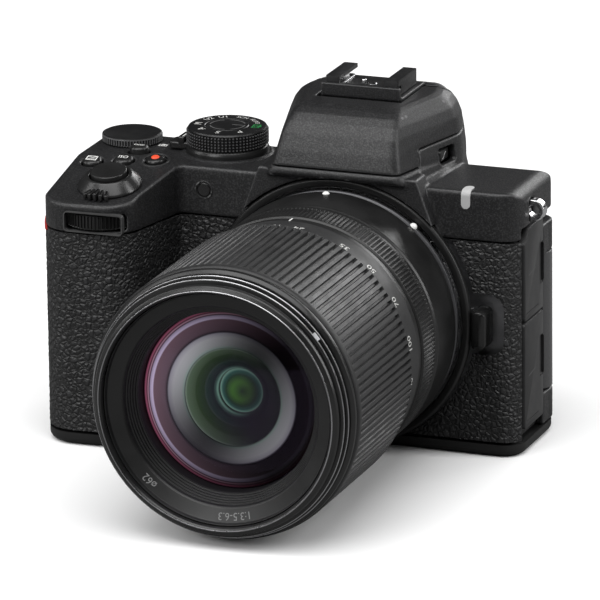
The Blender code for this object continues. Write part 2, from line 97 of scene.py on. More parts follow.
def dress(made, finish, body, replaced=(), sharp=35.0):
    """Gives an object its finish and body."""
    slot, surface = finish
    made.data.materials.clear()
    made.data.materials.append(surface)
    made.data.shade_smooth()
    if sharp:
        made.data.set_sharp_from_angle(angle=math.radians(sharp))
    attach(made, body)
    if replaced:
        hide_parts(*replaced)


def tidy(shape, name, outward=True):
    """A mesh of a bmesh, with its doubled points merged and its faces turned outwards."""
    bmesh.ops.remove_doubles(shape, verts=shape.verts, dist=0.000002)
    if outward:
        bmesh.ops.recalc_face_normals(shape, faces=shape.faces)
    mesh = bpy.data.meshes.new(name)
    shape.to_mesh(mesh)
    shape.free()
    return mesh


def grid_faces(rows, columns, wrap_rows, wrap_columns):
    """The faces of a grid of points, which may close on itself either way."""
    r = np.arange(rows if wrap_rows else rows - 1)[:, None]
    c = np.arange(columns if wrap_columns else columns - 1)[None, :]
    next_row, next_column = (r + 1) % rows, (c + 1) % columns
    corners = [r * columns + c, r * columns + next_column]
    corners += [next_row * columns + next_column, next_row * columns + c]
    return np.stack([np.broadcast_to(k, (r.size, c.size)) for k in corners], -1).reshape(-1, 4)


def mesh_of(name, points, faces, outward=True):
    """A mesh of points in millimetres and faces."""
    mesh = bpy.data.meshes.new(name)
    mesh.from_pydata((np.asarray(points) * MM).tolist(), [], np.asarray(faces).tolist())
    shape = bmesh.new()
    shape.from_mesh(mesh)
    bpy.data.meshes.remove(mesh)
    return tidy(shape, name, outward)


def eased(profile, radius=0.25, closed=True, steps=3):
    """A profile (radius, height, rib depth) with its corners rounded."""
    points = []
    count = len(profile)
    for index, corner in enumerate(profile):
        here = Vector(corner[:2])
        depth = corner[2] if len(corner) > 2 else 0.0
        if not closed and index in (0, count - 1):
            points.append((*here, depth))
            continue
        back = Vector(profile[index - 1][:2]) - here
        ahead = Vector(profile[(index + 1) % count][:2]) - here
        reach = min(radius, 0.42 * back.length, 0.42 * ahead.length)
        first, last = here + back.normalized() * reach, here + ahead.normalized() * reach
        for step in range(steps + 1):
            t = step / steps
            point = first * (1 - t) ** 2 + here * 2 * t * (1 - t) + last * t ** 2
            points.append((*point, depth))
    return points


def ribs(count, pattern):
    """The angles round a ribbed ring, and how deep the groove is at each, from a pattern for one rib."""
    places = np.array([place for place, _ in pattern])
    depths = np.array([depth for _, depth in pattern])
    turns = (np.arange(count)[:, None] + places[None, :]).ravel() * 2 * math.pi / count
    return turns, np.tile(depths, count)


def lathe_mesh(name, profile, centre, axis="Y", steps=96, wave=None, closed=True):
    """A turned mesh of a profile (radius, height, rib depth) around an axis through a centre.

    Axis "Y" turns round a line that points forwards, "B" one that points back, "X" one to the right.
    """
    rows = np.array([(*row, 0.0)[:3] for row in profile])
    if wave is None:
        wave = np.arange(steps) * 2 * math.pi / steps, np.zeros(steps)
    turns, depths = wave
    radius = rows[:, :1] - rows[:, 2:] * depths
    across, up = radius * np.cos(turns), radius * np.sin(turns)
    along = np.broadcast_to(rows[:, 1:2], across.shape)
    order = {
        "Z": (across, up, along),
        "Y": (across, -along, up),
        "B": (across, along, up),
        "X": (along, across, up),
    }
    points = np.stack(order[axis], -1).reshape(-1, 3) + np.array(centre)
    return mesh_of(name, points, grid_faces(*across.shape, closed, True))


def lathe(name, profile, centre, finish, body, axis="Y", steps=96, wave=None, replaced=(), ease=0.25):
    """A turned piece. A profile that starts on its axis ends there too, and any other closes on itself."""
    closed = profile[0][0] > 0
    rows = eased(profile, ease, closed) if ease else profile
    return piece(name, lathe_mesh(name, rows, centre, axis, steps, wave, closed), finish, body, replaced)


def rounded(corners, steps=8):
    """The points of a polygon whose corners (x, y, radius) are rounded by arcs."""
    points = []
    for index, (x, y, radius) in enumerate(corners):
        here = Vector((x, y))
        back = (Vector(corners[index - 1][:2]) - here).normalized()
        ahead = (Vector(corners[(index + 1) % len(corners)][:2]) - here).normalized()
        half = back.angle(ahead) / 2
        centre = here + (back + ahead).normalized() * radius / math.sin(half)
        start = here + back * radius / math.tan(half) - centre
        end = here + ahead * radius / math.tan(half) - centre
        first = math.atan2(start.y, start.x)
        turn = (math.atan2(end.y, end.x) - first + math.pi) % (2 * math.pi) - math.pi
        for step in range(steps + 1):
            angle = first + turn * step / steps
            points.append((centre.x + radius * math.cos(angle), centre.y + radius * math.sin(angle)))
    return points


def inset(corners, depth):
    """The corners of an anticlockwise outline moved inwards by depth."""
    moved = []
    for index, (x, y, radius) in enumerate(corners):
        here = Vector((x, y))
        entry = (here - Vector(corners[index - 1][:2])).normalized()
        leave = (Vector(corners[(index + 1) % len(corners)][:2]) - here).normalized()
        first = Vector((-entry.y, entry.x))
        second = Vector((-leave.y, leave.x))
        corner = here + (first + second) * depth / (1 + first.dot(second))
        convex = entry.x * leave.y - entry.y * leave.x > 0
        moved.append((corner.x, corner.y, max(radius - depth if convex else radius + depth, 0.3)))
    return moved


def rectangle(x0, y0, x1, y1, radius):
    return [(x1, y0, radius), (x1, y1, radius), (x0, y1, radius), (x0, y0, radius)]


def place(points, height, axis):
    """Points of an outline (a, b) at a height along an axis, as an array."""
    flat = np.array(points, float)
    level = np.full(len(flat), float(height))
    order = {"X": (level, flat[:, 0], flat[:, 1]), "Y": (flat[:, 0], level, flat[:, 1])}
    return np.stack(order.get(axis, (flat[:, 0], flat[:, 1], level)), -1)


def loft_mesh(name, rings, axis="Z"):
    """A closed mesh through outlines of equal point count, each given with its height."""
    rows = np.stack([place(points, height, axis) for points, height in rings])
    count, columns = rows.shape[:2]
    faces = grid_faces(count, columns, False, True).tolist()
    faces.append(list(range(columns))[::-1])
    faces.append(list(range((count - 1) * columns, count * columns)))
    shape = bmesh.new()
    verts = [shape.verts.new(Vector(point) * MM) for point in rows.reshape(-1, 3)]
    for face in faces:
        shape.faces.new([verts[k] for k in face])
    bmesh.ops.recalc_face_normals(shape, faces=shape.faces)
    mesh = bpy.data.meshes.new(name)
    shape.to_mesh(mesh)
    shape.free()
    return mesh


def slab_rings(corners, low, high, edge=0.3, steps=3, low_edge=None, arc=8):
    """The outlines of a slab whose upper and lower edges are rounded."""
    low_edge = edge if low_edge is None else low_edge
    rings = []
    for step in range(steps + 1):
        angle = math.pi / 2 * step / steps
        rings.append((low_edge * (1 - math.sin(angle)), low + low_edge * (1 - math.cos(angle))))
    for step in range(steps, -1, -1):
        angle = math.pi / 2 * step / steps
        rings.append((edge * (1 - math.sin(angle)), high - edge * (1 - math.cos(angle))))
    return [(rounded(inset(corners, depth), arc), height) for depth, height in rings]


def slab(name, corners, low, high, finish, body, axis="Z", edge=0.3, low_edge=None, replaced=(), arc=8):
    """A flat piece with a rounded outline and rounded edges."""
    mesh = loft_mesh(name, slab_rings(corners, low, high, edge, 3, low_edge, arc), axis)
    return piece(name, mesh, finish, body, replaced)


# ---- Joining and cutting ----


def rough(mesh):
    """A working object, which goes when it has been joined or cut."""
    made = bpy.data.objects.new(mesh.name, mesh)
    bpy.context.scene.collection.objects.link(made)
    return made


def rough_box(low, high, radius=0.5, axis="Z"):
    """A working block with rounded upright edges."""
    k = "XYZ".index(axis)
    a, b = [n for n in range(3) if n != k]
    outline = rounded(rectangle(low[a], low[b], high[a], high[b], radius), 4)
    return rough(loft_mesh("block", [(outline, low[k]), (outline, high[k])], axis))


def rough_drum(radius, low, high, centre, axis="Z", steps=48):
    profile = [(0, high), (radius, high), (radius, low), (0, low)]
    return rough(lathe_mesh("drum", profile, centre, axis, steps, None, False))


def rough_prism(corners, low, high, axis="Z", steps=6):
    outline = rounded(corners, steps)
    return rough(loft_mesh("prism", [(outline, low), (outline, high)], axis))


def settle(made):
    """Applies an object's modifiers to its mesh."""
    graph = bpy.context.evaluated_depsgraph_get()
    mesh = bpy.data.meshes.new_from_object(made.evaluated_get(graph))
    made.modifiers.clear()
    made.data = mesh
    return made


def shaped(made, joined=(), cut=(), kept=()):
    """A working object with others joined to it and cut from it, in that order."""
    for others, operation in ((joined, "UNION"), (cut, "DIFFERENCE"), (kept, "INTERSECT")):
        for other in others:
            step = made.modifiers.new(other.name, "BOOLEAN")
            step.operation = operation
            step.solver = "EXACT"
            step.object = other
    settle(made)
    for other in (*joined, *cut, *kept):
        bpy.data.objects.remove(other, do_unlink=True)
    return made


def cast(made, voxel=0.4, passes=6):
    """Remeshes a working object evenly, which rounds its edges a little as a moulding's are."""
    remesh = made.modifiers.new("remesh", "REMESH")
    remesh.mode = "VOXEL"
    remesh.voxel_size = voxel * MM
    soften = made.modifiers.new("soften", "SMOOTH")
    soften.factor = 0.5
    soften.iterations = passes
    return settle(made)


# ---- Lettering ----


def text_shape(words, size):
    """Points (x, y) in millimetres and faces of a line of text, centred."""
    curve = bpy.data.curves.new("words", "FONT")
    curve.body = words
    curve.size = size
    curve.align_x = "CENTER"
    curve.align_y = "CENTER"
    curve.resolution_u = 3
    made = bpy.data.objects.new("words", curve)
    bpy.context.scene.collection.objects.link(made)
    graph = bpy.context.evaluated_depsgraph_get()
    mesh = bpy.data.meshes.new_from_object(made.evaluated_get(graph))
    bpy.data.objects.remove(made, do_unlink=True)
    return [vert.co[:2] for vert in mesh.vertices], [list(face.vertices) for face in mesh.polygons]


def printed(name, shapes, onto, finish, body):
    """Flat marks laid on a surface. Each is (points, faces), and onto gives a point's place."""
    points, faces = [], []
    for outline, polygons in shapes:
        faces += [[index + len(points) for index in face] for face in polygons]
        points += outline
    mesh = bpy.data.meshes.new(name)
    mesh.from_pydata([Vector(onto(*point)) * MM for point in points], [], faces)
    return piece(name, mesh, finish, body, sharp=0)


def shifted(shape, across, up, turn=0.0):
    """A flat shape turned and then moved."""
    points, faces = shape
    c, s = math.cos(turn), math.sin(turn)
    return [(x * c - y * s + across, x * s + y * c + up) for x, y in points], faces


def bar(x0, y0, x1, y1, width):
    """A flat straight stroke."""
    along = Vector((x1 - x0, y1 - y0)).normalized() * width / 2
    side = Vector((-along.y, along.x))
    ends = [Vector((x0, y0)) - along, Vector((x1, y1)) + along]
    points = [ends[0] - side, ends[1] - side, ends[1] + side, ends[0] + side]
    return [tuple(point) for point in points], [[0, 1, 2, 3]]


def stepped(corners, levels, arc):
    """Rounded outlines of one shape: each level is how far it draws in, and its height."""
    return [(rounded(inset(corners, depth), arc), height) for depth, height in levels]


def hoop(x, y, outer, inner, start=0.0, end=360.0, steps=36):
    """A flat ring or arc."""
    turns = [math.radians(start + (end - start) * k / steps) for k in range(steps + 1)]
    points = [
        (x + radius * math.cos(t), y + radius * math.sin(t)) for t in turns for radius in (inner, outer)
    ]
    return points, [[2 * k, 2 * k + 1, 2 * k + 3, 2 * k + 2] for k in range(steps)]


def frame_mark(x0, y0, x1, y1, width):
    """A flat outline of a rectangle."""
    outer = [(x0, y0), (x1, y0), (x1, y1), (x0, y1)]
    inner = [
        (x0 + width, y0 + width),
        (x1 - width, y0 + width),
        (x1 - width, y1 - width),
        (x0 + width, y1 - width),
    ]
    return outer + inner, [[k, (k + 1) % 4, (k + 1) % 4 + 4, k + 4] for k in range(4)]


def swept(name, sections, finish, body):
    """A closed bar through sections that have the same number of points, in millimetres."""
    size = len(sections[0])
    count = len(sections)
    faces = grid_faces(count, size, False, True).tolist()
    faces += [list(range(size))[::-1], list(range((count - 1) * size, count * size))]
    shape = bmesh.new()
    verts = [shape.verts.new(Vector(point) * MM) for section in sections for point in section]
    for face in faces:
        shape.faces.new([verts[k] for k in face])
    return piece(name, tidy(shape, name), finish, body)
# ---- Finishes: each is the record's slot and a material ----


class Shading:
    """A Principled material, and the nodes that its looks are built from."""

    def __init__(self, name, colour, roughness, metallic=0.0, specular=0.5):
        self.material = bpy.data.materials.new(name)
        self.material.use_nodes = True
        self.tree = self.material.node_tree
        self.shader = self.tree.nodes["Principled BSDF"]
        self.set("Base Color", (*colour, 1.0))
        self.set("Roughness", roughness)
        self.set("Metallic", metallic)
        self.set("Specular IOR Level", specular)

    def join(self, value, socket):
        """Gives a socket a plain value, or the output of another node."""
        if isinstance(value, bpy.types.NodeSocket):
            self.tree.links.new(value, socket)
        else:
            socket.default_value = value

    def set(self, name, value):
        self.join(value, self.shader.inputs[name])

    def node(self, kind, inputs=(), **settings):
        made = self.tree.nodes.new("ShaderNode" + kind)
        for name, value in settings.items():
            setattr(made, name, value)
        for name, value in dict(inputs).items():
            self.join(value, made.inputs[name])
        return made

    def spot(self):
        """Where a point of the surface is, in metres."""
        return self.node("TexCoord").outputs["Object"]

    def along(self, axis):
        """How far a point is along X, Y or Z, as 0, 1 or 2, in metres."""
        return self.node("SeparateXYZ", {0: self.spot()}).outputs[axis]

    def grain(self, size, detail=2.0, roughness=0.5):
        """Noise with features of a size in millimetres."""
        inputs = {"Scale": 1.0 / (size * MM), "Detail": detail, "Roughness": roughness, "Vector": self.spot()}
        return self.node("TexNoise", inputs).outputs["Fac"]

    def between(self, value, low, high, out_low=0.0, out_high=1.0):
        """A value mapped from one range to another, and clamped."""
        inputs = {"Value": value, "From Min": low, "From Max": high, "To Min": out_low, "To Max": out_high}
        return self.node("MapRange", inputs).outputs["Result"]

    def mixed(self, value, first, second, blend="MIX"):
        """Two colours mixed by a value. Each is a colour or another node's output."""
        colours = [(*part, 1.0) if isinstance(part, tuple) else part for part in (first, second)]
        made = self.node("Mix", {"Factor": value}, data_type="RGBA", blend_type=blend)
        self.join(colours[0], made.inputs[6])
        self.join(colours[1], made.inputs[7])
        return made.outputs[2]

    def maths(self, operation, first, second=0.0):
        return self.node("Math", {0: first, 1: second}, operation=operation).outputs[0]

    def length(self, first, second):
        """The length of a vector in two directions."""
        squares = [self.maths("MULTIPLY", part, part) for part in (first, second)]
        return self.maths("SQRT", self.maths("ADD", *squares))

    def stripes(self, axis, pitch):
        """Even stripes across an axis, from 0 to 1."""
        phase = self.maths("MULTIPLY", self.along(axis), 2 * math.pi / (pitch * MM))
        return self.between(self.maths("SINE", phase), -1.0, 1.0)

    def lens_turn(self):
        """How far a point is from the lens axis, and its angle round it."""
        height = self.maths("SUBTRACT", self.along(2), LENS_Z * MM)
        return self.length(self.along(0), height), self.maths("ARCTAN2", height, self.along(0))

    def bump(self, height, depth):
        """Raises the surface by a height from 0 to 1, over a depth."""
        made = self.node("Bump", {"Strength": 1.0, "Distance": depth * MM, "Height": height})
        self.set("Normal", made.outputs["Normal"])

    def mottle(self, value, low, high, colours, dull=None):
        """Colours, and roughness where dull gives it, that follow a value such as a grain."""
        self.set("Base Color", self.mixed(self.between(value, low, high), *colours))
        if dull:
            self.set("Roughness", self.between(value, low, high, *dull))


def paint(name, size, low, high, colours, edge, dull, depth):
    """Textured black paint, with a painted highlight that makes it lighter along the edges of a fine mesh."""
    made = Shading(name, (0.012, 0.012, 0.012), 0.45)
    fine = made.grain(size, 2.0, 0.6)
    speckle = made.mixed(made.between(fine, low, high), *colours)
    # painted highlight: where the mesh is pointy, along its edges, the paint is painted a lighter colour
    painted_edge_highlight = made.between(made.node("NewGeometry").outputs["Pointiness"], 0.52, 0.60)
    made.set("Base Color", made.mixed(painted_edge_highlight, speckle, edge))
    made.set("Roughness", made.between(fine, 0.3, 0.7, *dull))
    made.bump(fine, depth)
    return "black_paint", made.material


@functools.cache
def crackle_paint():
    """Black paint with a fine crystal texture, and a painted highlight along its edges."""
    colours = (0.006, 0.006, 0.0065), (0.034, 0.034, 0.035)
    # the last colour but one is the painted edge highlight
    return paint("crackle_paint", 0.42, 0.45, 0.68, colours, (0.10, 0.10, 0.102), (0.52, 0.36), 0.06)


@functools.cache
def deck_paint():
    """Finer, smoother paint, for small rims, with a painted highlight along its edges."""
    colours = (0.008, 0.008, 0.0085), (0.018, 0.018, 0.0185)
    # the last colour but one is the painted edge highlight
    return paint("deck_paint", 0.35, 0.4, 0.7, colours, (0.12, 0.12, 0.12), (0.56, 0.42), 0.03)


@functools.cache
def satin_plastic(name, roughness=0.36, shade=0.016):
    """Moulded black plastic with a faint grain and a few dull patches from handling."""
    made = Shading(name, (shade, shade, shade), roughness)
    colours = (shade * 0.5,) * 3, (shade * 0.75,) * 3
    made.mottle(made.grain(9.0, 3.0), 0.3, 0.7, colours, (roughness - 0.05, roughness + 0.07))
    made.bump(made.grain(0.16, 1.0), 0.008)
    return "black_plastic", made.material


def knurled_plastic(name, centre, valley, crest):
    """Moulded plastic with a painted highlight on the crests of a knurl round an upright axis, and painted
    shade in its grooves.
    """
    made = Shading(name, (0.02, 0.02, 0.02), 0.4)
    across = [made.maths("SUBTRACT", made.along(axis), centre[axis] * MM) for axis in (0, 1)]
    # painted shade in the grooves, painted highlight on the crests
    colours = (0.007, 0.007, 0.0075), (0.085, 0.085, 0.087)
    made.mottle(made.length(*across), valley * MM, crest * MM, colours)
    made.set("Roughness", made.between(made.grain(6.0, 3.0), 0.3, 0.7, 0.32, 0.46))
    made.bump(made.grain(0.16, 1.0), 0.008)
    return "black_plastic", made.material


@functools.cache
def rubber():
    """Matte black rubber with a dusty bloom."""
    made = Shading("ring_rubber", (0.012, 0.012, 0.012), 0.5)
    patches = made.grain(5.0, 4.0)
    made.mottle(patches, 0.35, 0.7, ((0.008, 0.008, 0.0085), (0.014, 0.014, 0.0145)))
    made.set("Roughness", made.between(patches, 0.3, 0.7, 0.42, 0.56))
    made.bump(made.grain(0.2, 2.0), 0.012)
    made.set("Sheen Weight", 0.05)
    return "black_rubber", made.material


@functools.cache
def leather():
    """Moulded leatherette: pebbles are in the mesh, and the fine skin grain and the creases are here; the
    creases are duller and painted darker as painted shade.
    """
    made = Shading("grip_leather", (0.012, 0.012, 0.012), 0.45, 0.0, 0.6)
    scale = 1.0 / (1.5 * MM)
    where = made.spot()
    wobble = made.node("TexNoise", {"Scale": scale, "Vector": where})
    warp = made.node("Mix", {"Factor": 0.0012, 4: where, 5: wobble.outputs["Color"]}, data_type="VECTOR")
    cells = made.node("TexVoronoi", {"Scale": scale, "Vector": warp.outputs[1]}, feature="DISTANCE_TO_EDGE")
    crease = made.between(cells.outputs["Distance"], 0.0, 0.30)
    # painted shade: the creases are painted darker than the pebble tops
    made.mottle(crease, 0.0, 1.0, ((0.003, 0.003, 0.003), (0.020, 0.020, 0.021)), (0.62, 0.38))
    made.bump(crease, 0.30)
    return "leatherette", made.material


@functools.cache
def bright_metal(name="bright_metal", roughness=0.22):
    """Turned bright metal with a fine grain and faint marks."""
    made = Shading(name, (0.70, 0.70, 0.71), roughness, 1.0)
    made.set("Roughness", made.between(made.grain(0.8, 4.0), 0.35, 0.75, roughness - 0.06, roughness + 0.12))
    made.bump(made.grain(0.1, 2.0), 0.003)
    return "chrome", made.material


@functools.cache
def pale_metal():
    """Satin metal of the thin bright lines on the rims."""
    made = Shading("pale_metal", (0.42, 0.42, 0.43), 0.3, 1.0)
    made.set("Roughness", made.between(made.grain(4.0, 3.0), 0.3, 0.7, 0.24, 0.38))
    return "chrome", made.material


@functools.cache
def flange_metal():
    """The brushed grey metal of the mount."""
    made = Shading("flange_metal", (0.10, 0.10, 0.105), 0.38, 0.8)
    made.set("Roughness", made.between(made.grain(6.0, 3.0), 0.3, 0.7, 0.38, 0.5))
    return "chrome", made.material


@functools.cache
def dark_metal():
    """Black-coated metal with rubbed patches."""
    made = Shading("dark_metal", (0.02, 0.02, 0.02), 0.35)
    made.mottle(made.grain(2.5, 4.0), 0.55, 0.75, ((0.012, 0.012, 0.0125), (0.03, 0.03, 0.031)))
    made.set("Roughness", made.between(made.grain(0.5, 3.0), 0.3, 0.7, 0.28, 0.44))
    return "alloy", made.material


@functools.cache
def ink(name, colour, slot="black_plastic"):
    """Printed or filled lettering, thinner in places."""
    made = Shading(name, colour, 0.55)
    thin = made.between(made.grain(0.3, 2.0), 0.3, 0.6, 0.82, 1.0)
    made.set("Base Color", made.mixed(thin, tuple(part * 0.7 for part in colour), colour))
    return slot, made.material


@functools.cache
def baffle_black():
    """The flocked black inside a lens barrel."""
    made = Shading("baffle_black", (0.006, 0.006, 0.007), 0.5, 0.0, 0.35)
    made.bump(made.grain(0.25, 2.0), 0.02)
    return "black_plastic", made.material


def coated_glass(name, tint):
    """Lens glass whose coating tints what it reflects."""
    made = Shading(name, (1.0, 1.0, 1.0), 0.0)
    made.set("IOR", 1.5)
    made.set("Transmission Weight", 1.0)
    made.set("Specular Tint", (*tint, 1.0))
    made.set("Roughness", made.between(made.grain(14.0, 3.0), 0.45, 0.8, 0.0, 0.015))
    return "glass", made.material


def clear_front(name, tint):
    """Clear glass that only reflects, tinted by its coating, and lets light straight through."""
    made = Shading(name, tint, 0.02, 1.0)
    made.set("Specular Tint", (*tint, 1.0))
    made.set("Roughness", made.between(made.grain(14.0, 3.0), 0.45, 0.8, 0.02, 0.05))
    edge = made.node("Fresnel", {"IOR": 1.7}).outputs["Fac"]
    made.set("Alpha", made.between(edge, 0.06, 1.0, 0.02, 1.0))
    return "glass", made.material


def painted_element_reflection(name, stops, lit, fall=1.0):
    """Painted reflections on a coated element: rings of colour by radius, painted brighter at the left, at
    both sides or all round, and glowing.
    """
    made = Shading(name, (0.1, 0.1, 0.1), 0.3, 0.0, 0.12)
    radius, turn = made.lens_turn()
    first, widest = stops[0][0], stops[-1][0]
    ramp = made.node("ValToRGB", {"Fac": made.between(radius, first * MM, widest * MM)})
    elements = ramp.color_ramp.elements
    while len(elements) < len(stops):
        elements.new(0.5)
    for element, (at, colour) in zip(elements, stops):
        element.position = (at - first) / (widest - first)
        element.color = (*colour, 1.0)
    # painted reflection: brighter on one side by the angle round the lens
    left = made.maths("COSINE", made.maths("SUBTRACT", turn, 3.0))
    if lit == "left":
        level = made.maths("POWER", made.between(left, -0.6, 1.0, 0.12, 1.0), fall)
    elif lit == "round":
        level = made.between(left, -1.0, 1.0, 0.35, 1.0)
    else:
        wave = made.maths("COSINE", made.maths("ADD", made.maths("MULTIPLY", turn, 2.0), 1.1))
        sides = made.between(wave, -1.0, 1.0, 0.10, 1.0)
        level = made.maths("MULTIPLY", sides, made.between(left, -1.0, 1.0, 0.62, 1.0))
    shown = made.mixed(1.0, ramp.outputs["Color"], level, "MULTIPLY")
    made.set("Base Color", shown)
    # the painted reflection also glows, though it is no lamp
    made.set("Emission Color", shown)
    made.set("Emission Strength", 0.62)
    return "glass", made.material


def flash_glass():
    """Milky ribbed glass of a flash tube's window."""
    made = Shading("flash_glass", (0.75, 0.76, 0.74), 0.25)
    waves = made.node("TexWave", {"Scale": 300.0, "Vector": made.spot()}, bands_direction="X")
    made.bump(waves.outputs["Fac"], 0.15)
    return "glass", made.material


def screen_black():
    """Dark cover glass with faint finger marks."""
    made = Shading("screen_black", (0.004, 0.004, 0.005), 0.06)
    made.set("Roughness", made.between(made.grain(12.0, 5.0, 0.6), 0.45, 0.75, 0.05, 0.22))
    return "black_plastic", made.material


# ---- Finishes of the modelled pieces that stay as they are ----


def cast_alloy():
    """Bare cast alloy: a sandy skin with duller patches."""
    made = Shading("cast_alloy", (0.30, 0.30, 0.31), 0.5, 1.0)
    made.mottle(made.grain(7.0, 4.0), 0.3, 0.7, ((0.22, 0.22, 0.23), (0.36, 0.36, 0.37)), (0.42, 0.62))
    made.bump(made.grain(0.35, 3.0), 0.04)
    return "alloy", made.material


@functools.cache
def shutter_blades():
    """Dark coated blades that overlap in thin horizontal slats."""
    made = Shading("shutter_blades", (0.02, 0.02, 0.021), 0.4, 0.3)
    step = made.between(made.stripes(2, 4.2), 0.0, 0.12)
    made.mottle(step, 0.0, 1.0, ((0.003, 0.003, 0.003), (0.024, 0.024, 0.026)))
    made.set("Roughness", made.between(made.grain(3.0, 3.0), 0.3, 0.7, 0.32, 0.5))
    made.bump(step, 0.05)
    return "black_plastic", made.material


def middle_of(made, node, across, up):
    """1 in the middle of a node seen from the front, 0 in the outer shares of its width and height."""
    low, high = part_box(node)
    inside = []
    for axis, share in ((0, across), (2, up)):
        away = made.maths("SUBTRACT", made.along(axis), (low[axis] + high[axis]) / 2)
        half = (high[axis] - low[axis]) * (1 - share) / 2
        inside.append(made.maths("LESS_THAN", made.maths("ABSOLUTE", away), half))
    return made.maths("MULTIPLY", *inside)


def sensor_glass():
    """A sensor behind its filter: violet and green where it is live, black ceramic round it."""
    made = Shading("sensor_glass", (0.02, 0.02, 0.03), 0.1)
    live = middle_of(made, "sensor_unit", 0.38, 0.40)
    sheen = made.mixed(made.grain(30.0, 1.0), (0.03, 0.015, 0.07), (0.015, 0.06, 0.045))
    made.set("Base Color", made.mixed(live, (0.016, 0.016, 0.017), sheen))
    made.set("Roughness", made.between(live, 0.0, 1.0, 0.45, 0.06))
    return "glass", made.material


def circuit_board():
    """Green solder mask over copper runs, with dark chips."""
    made = Shading("circuit_board", (0.02, 0.09, 0.04), 0.4)
    runs = made.node(
        "TexVoronoi", {"Scale": 1.0 / (2.2 * MM), "Vector": made.spot()}, feature="DISTANCE_TO_EDGE"
    )
    copper = made.between(runs.outputs["Distance"], 0.03, 0.06, 1.0, 0.0)
    mask = made.mixed(copper, (0.012, 0.075, 0.03), (0.05, 0.20, 0.07))
    chips = made.node("TexVoronoi", {"Scale": 1.0 / (9.0 * MM), "Vector": made.spot()}, distance="CHEBYCHEV")
    chip = made.maths("LESS_THAN", chips.outputs["Distance"], 0.28)
    made.set("Base Color", made.mixed(chip, mask, (0.012, 0.012, 0.013)))
    made.set("Roughness", made.between(copper, 0.0, 1.0, 0.42, 0.26))
    made.bump(copper, 0.03)
    return "circuit", made.material


def labelled_case(name, node, case, label, across, up):
    """A moulded case with a printed label on its broad faces."""
    made = Shading(name, case, 0.4)
    made.set("Base Color", made.mixed(middle_of(made, node, across, up), case, label))
    made.set("Roughness", made.between(made.grain(4.0, 4.0), 0.3, 0.7, 0.34, 0.52))
    made.bump(made.grain(0.3, 2.0), 0.015)
    return "black_plastic", made.material


def turned_alloy():
    """Black-anodised tube with the fine lines of turning."""
    made = Shading("turned_alloy", (0.03, 0.03, 0.031), 0.36, 0.8)
    lines = made.stripes(1, 0.45)
    made.mottle(lines, 0.0, 1.0, ((0.02, 0.02, 0.021), (0.042, 0.042, 0.044)))
    made.set("Roughness", made.between(made.grain(5.0, 3.0), 0.3, 0.7, 0.28, 0.46))
    made.bump(lines, 0.01)
    return "alloy", made.material


def lens_cell(name, clear_radius, tint):
    """A lens group: coated glass inside a radius, and its black cell outside it."""
    made = Shading(name, (0.02, 0.02, 0.02), 0.3)
    radius = made.lens_turn()[0]
    cell = made.maths("GREATER_THAN", radius, clear_radius * MM)
    ring = made.between(radius, 0.0, clear_radius * MM)
    glassy = made.mixed(ring, tint, tuple(part * 0.35 for part in tint))
    made.set("Base Color", made.mixed(cell, glassy, (0.010, 0.010, 0.011)))
    made.set("Roughness", made.between(cell, 0.0, 1.0, 0.04, 0.5))
    return "glass", made.material


def inside_finishes():
    """Gives each modelled piece that stays its own finish."""
    finishes = {
        "chassis_frame": cast_alloy(),
        "shutter_frame": dark_metal(),
        "shutter_curtain": shutter_blades(),
        "sensor_unit": sensor_glass(),
        "main_board": circuit_board(),
        "battery": labelled_case(
            "battery_case", "battery", (0.03, 0.03, 0.032), (0.20, 0.20, 0.21), 0.3, 0.35
        ),
        "memory_card": labelled_case(
            "card_case", "memory_card", (0.012, 0.014, 0.03), (0.10, 0.12, 0.20), 0.25, 0.3
        ),
        "evf_module": satin_plastic("finder_module_plastic", 0.42, 0.02),
        "lens_guide_tube": turned_alloy(),
        "zoom_group": lens_cell("zoom_group_cell", 13.0, (0.05, 0.03, 0.08)),
        "aperture_unit": shutter_blades(),
        "focus_group": lens_cell("focus_group_cell", 10.0, (0.02, 0.07, 0.04)),
        "rear_glass": lens_cell("rear_glass_cell", 11.0, (0.05, 0.04, 0.09)),
    }
    for node, (_, material) in finishes.items():
        for place_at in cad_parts[node].material_slots:
            place_at.material = material


# ---- The lens: heights are measured forwards from the image plane ----


def lens_piece(name, profile, finish, body, steps=160, wave=None, replaced=(), ease=0.25):
    return lathe(name, profile, (0, 0, LENS_Z), finish, body, "Y", steps, wave, replaced, ease)


def on_barrel(angle, forward, radius):
    """Where a mark's points go on the barrel: it reads from behind the lens, at an angle from the top."""

    def onto(x, y):
        turn = math.radians(angle) - x / radius
        return radius * math.sin(turn), -forward - y, LENS_Z + radius * math.cos(turn)

    return onto


def mount_rings():
    plate = [
        (34.05, 16.4),
        (34.05, 17.5),
        (33.4, 17.9),
        (24.0, 18.2),
        (23.5, 17.8),
        (23.5, 11.0),
        (27.2, 11.0),
        (27.2, 16.3),
    ]
    lens_piece(
        "lens_mount_plate_finish",
        plate,
        flange_metal(),
        "camera_body",
        replaced=["lens_mount_plate"],
        ease=0.12,
    )
    body_ring = [(33.5, 13.6), (33.5, 16.0), (27.6, 16.0), (27.6, 13.6)]
    lens_piece(
        "body_mount_ring_finish",
        body_ring,
        bright_metal(),
        "camera_body",
        replaced=["body_mount_ring"],
        ease=0.12,
    )


def bead(name, angle, forward, radius, finish):
    """A raised white dot on the barrel, at an angle from the top."""
    rows = [(0.0, 0.75), (0.55, 0.62), (0.92, 0.28), (1.05, -0.2), (0.0, -0.2)]
    made = lathe(name, rows, (0, 0, 0), finish, "camera_body", "Z", 28, ease=0)
    turn = math.radians(angle)
    for vert in made.data.vertices:
        vert.co.rotate(Quaternion((0, 1, 0), turn))
        vert.co += Vector((radius * math.sin(turn), -forward, LENS_Z + radius * math.cos(turn))) * MM


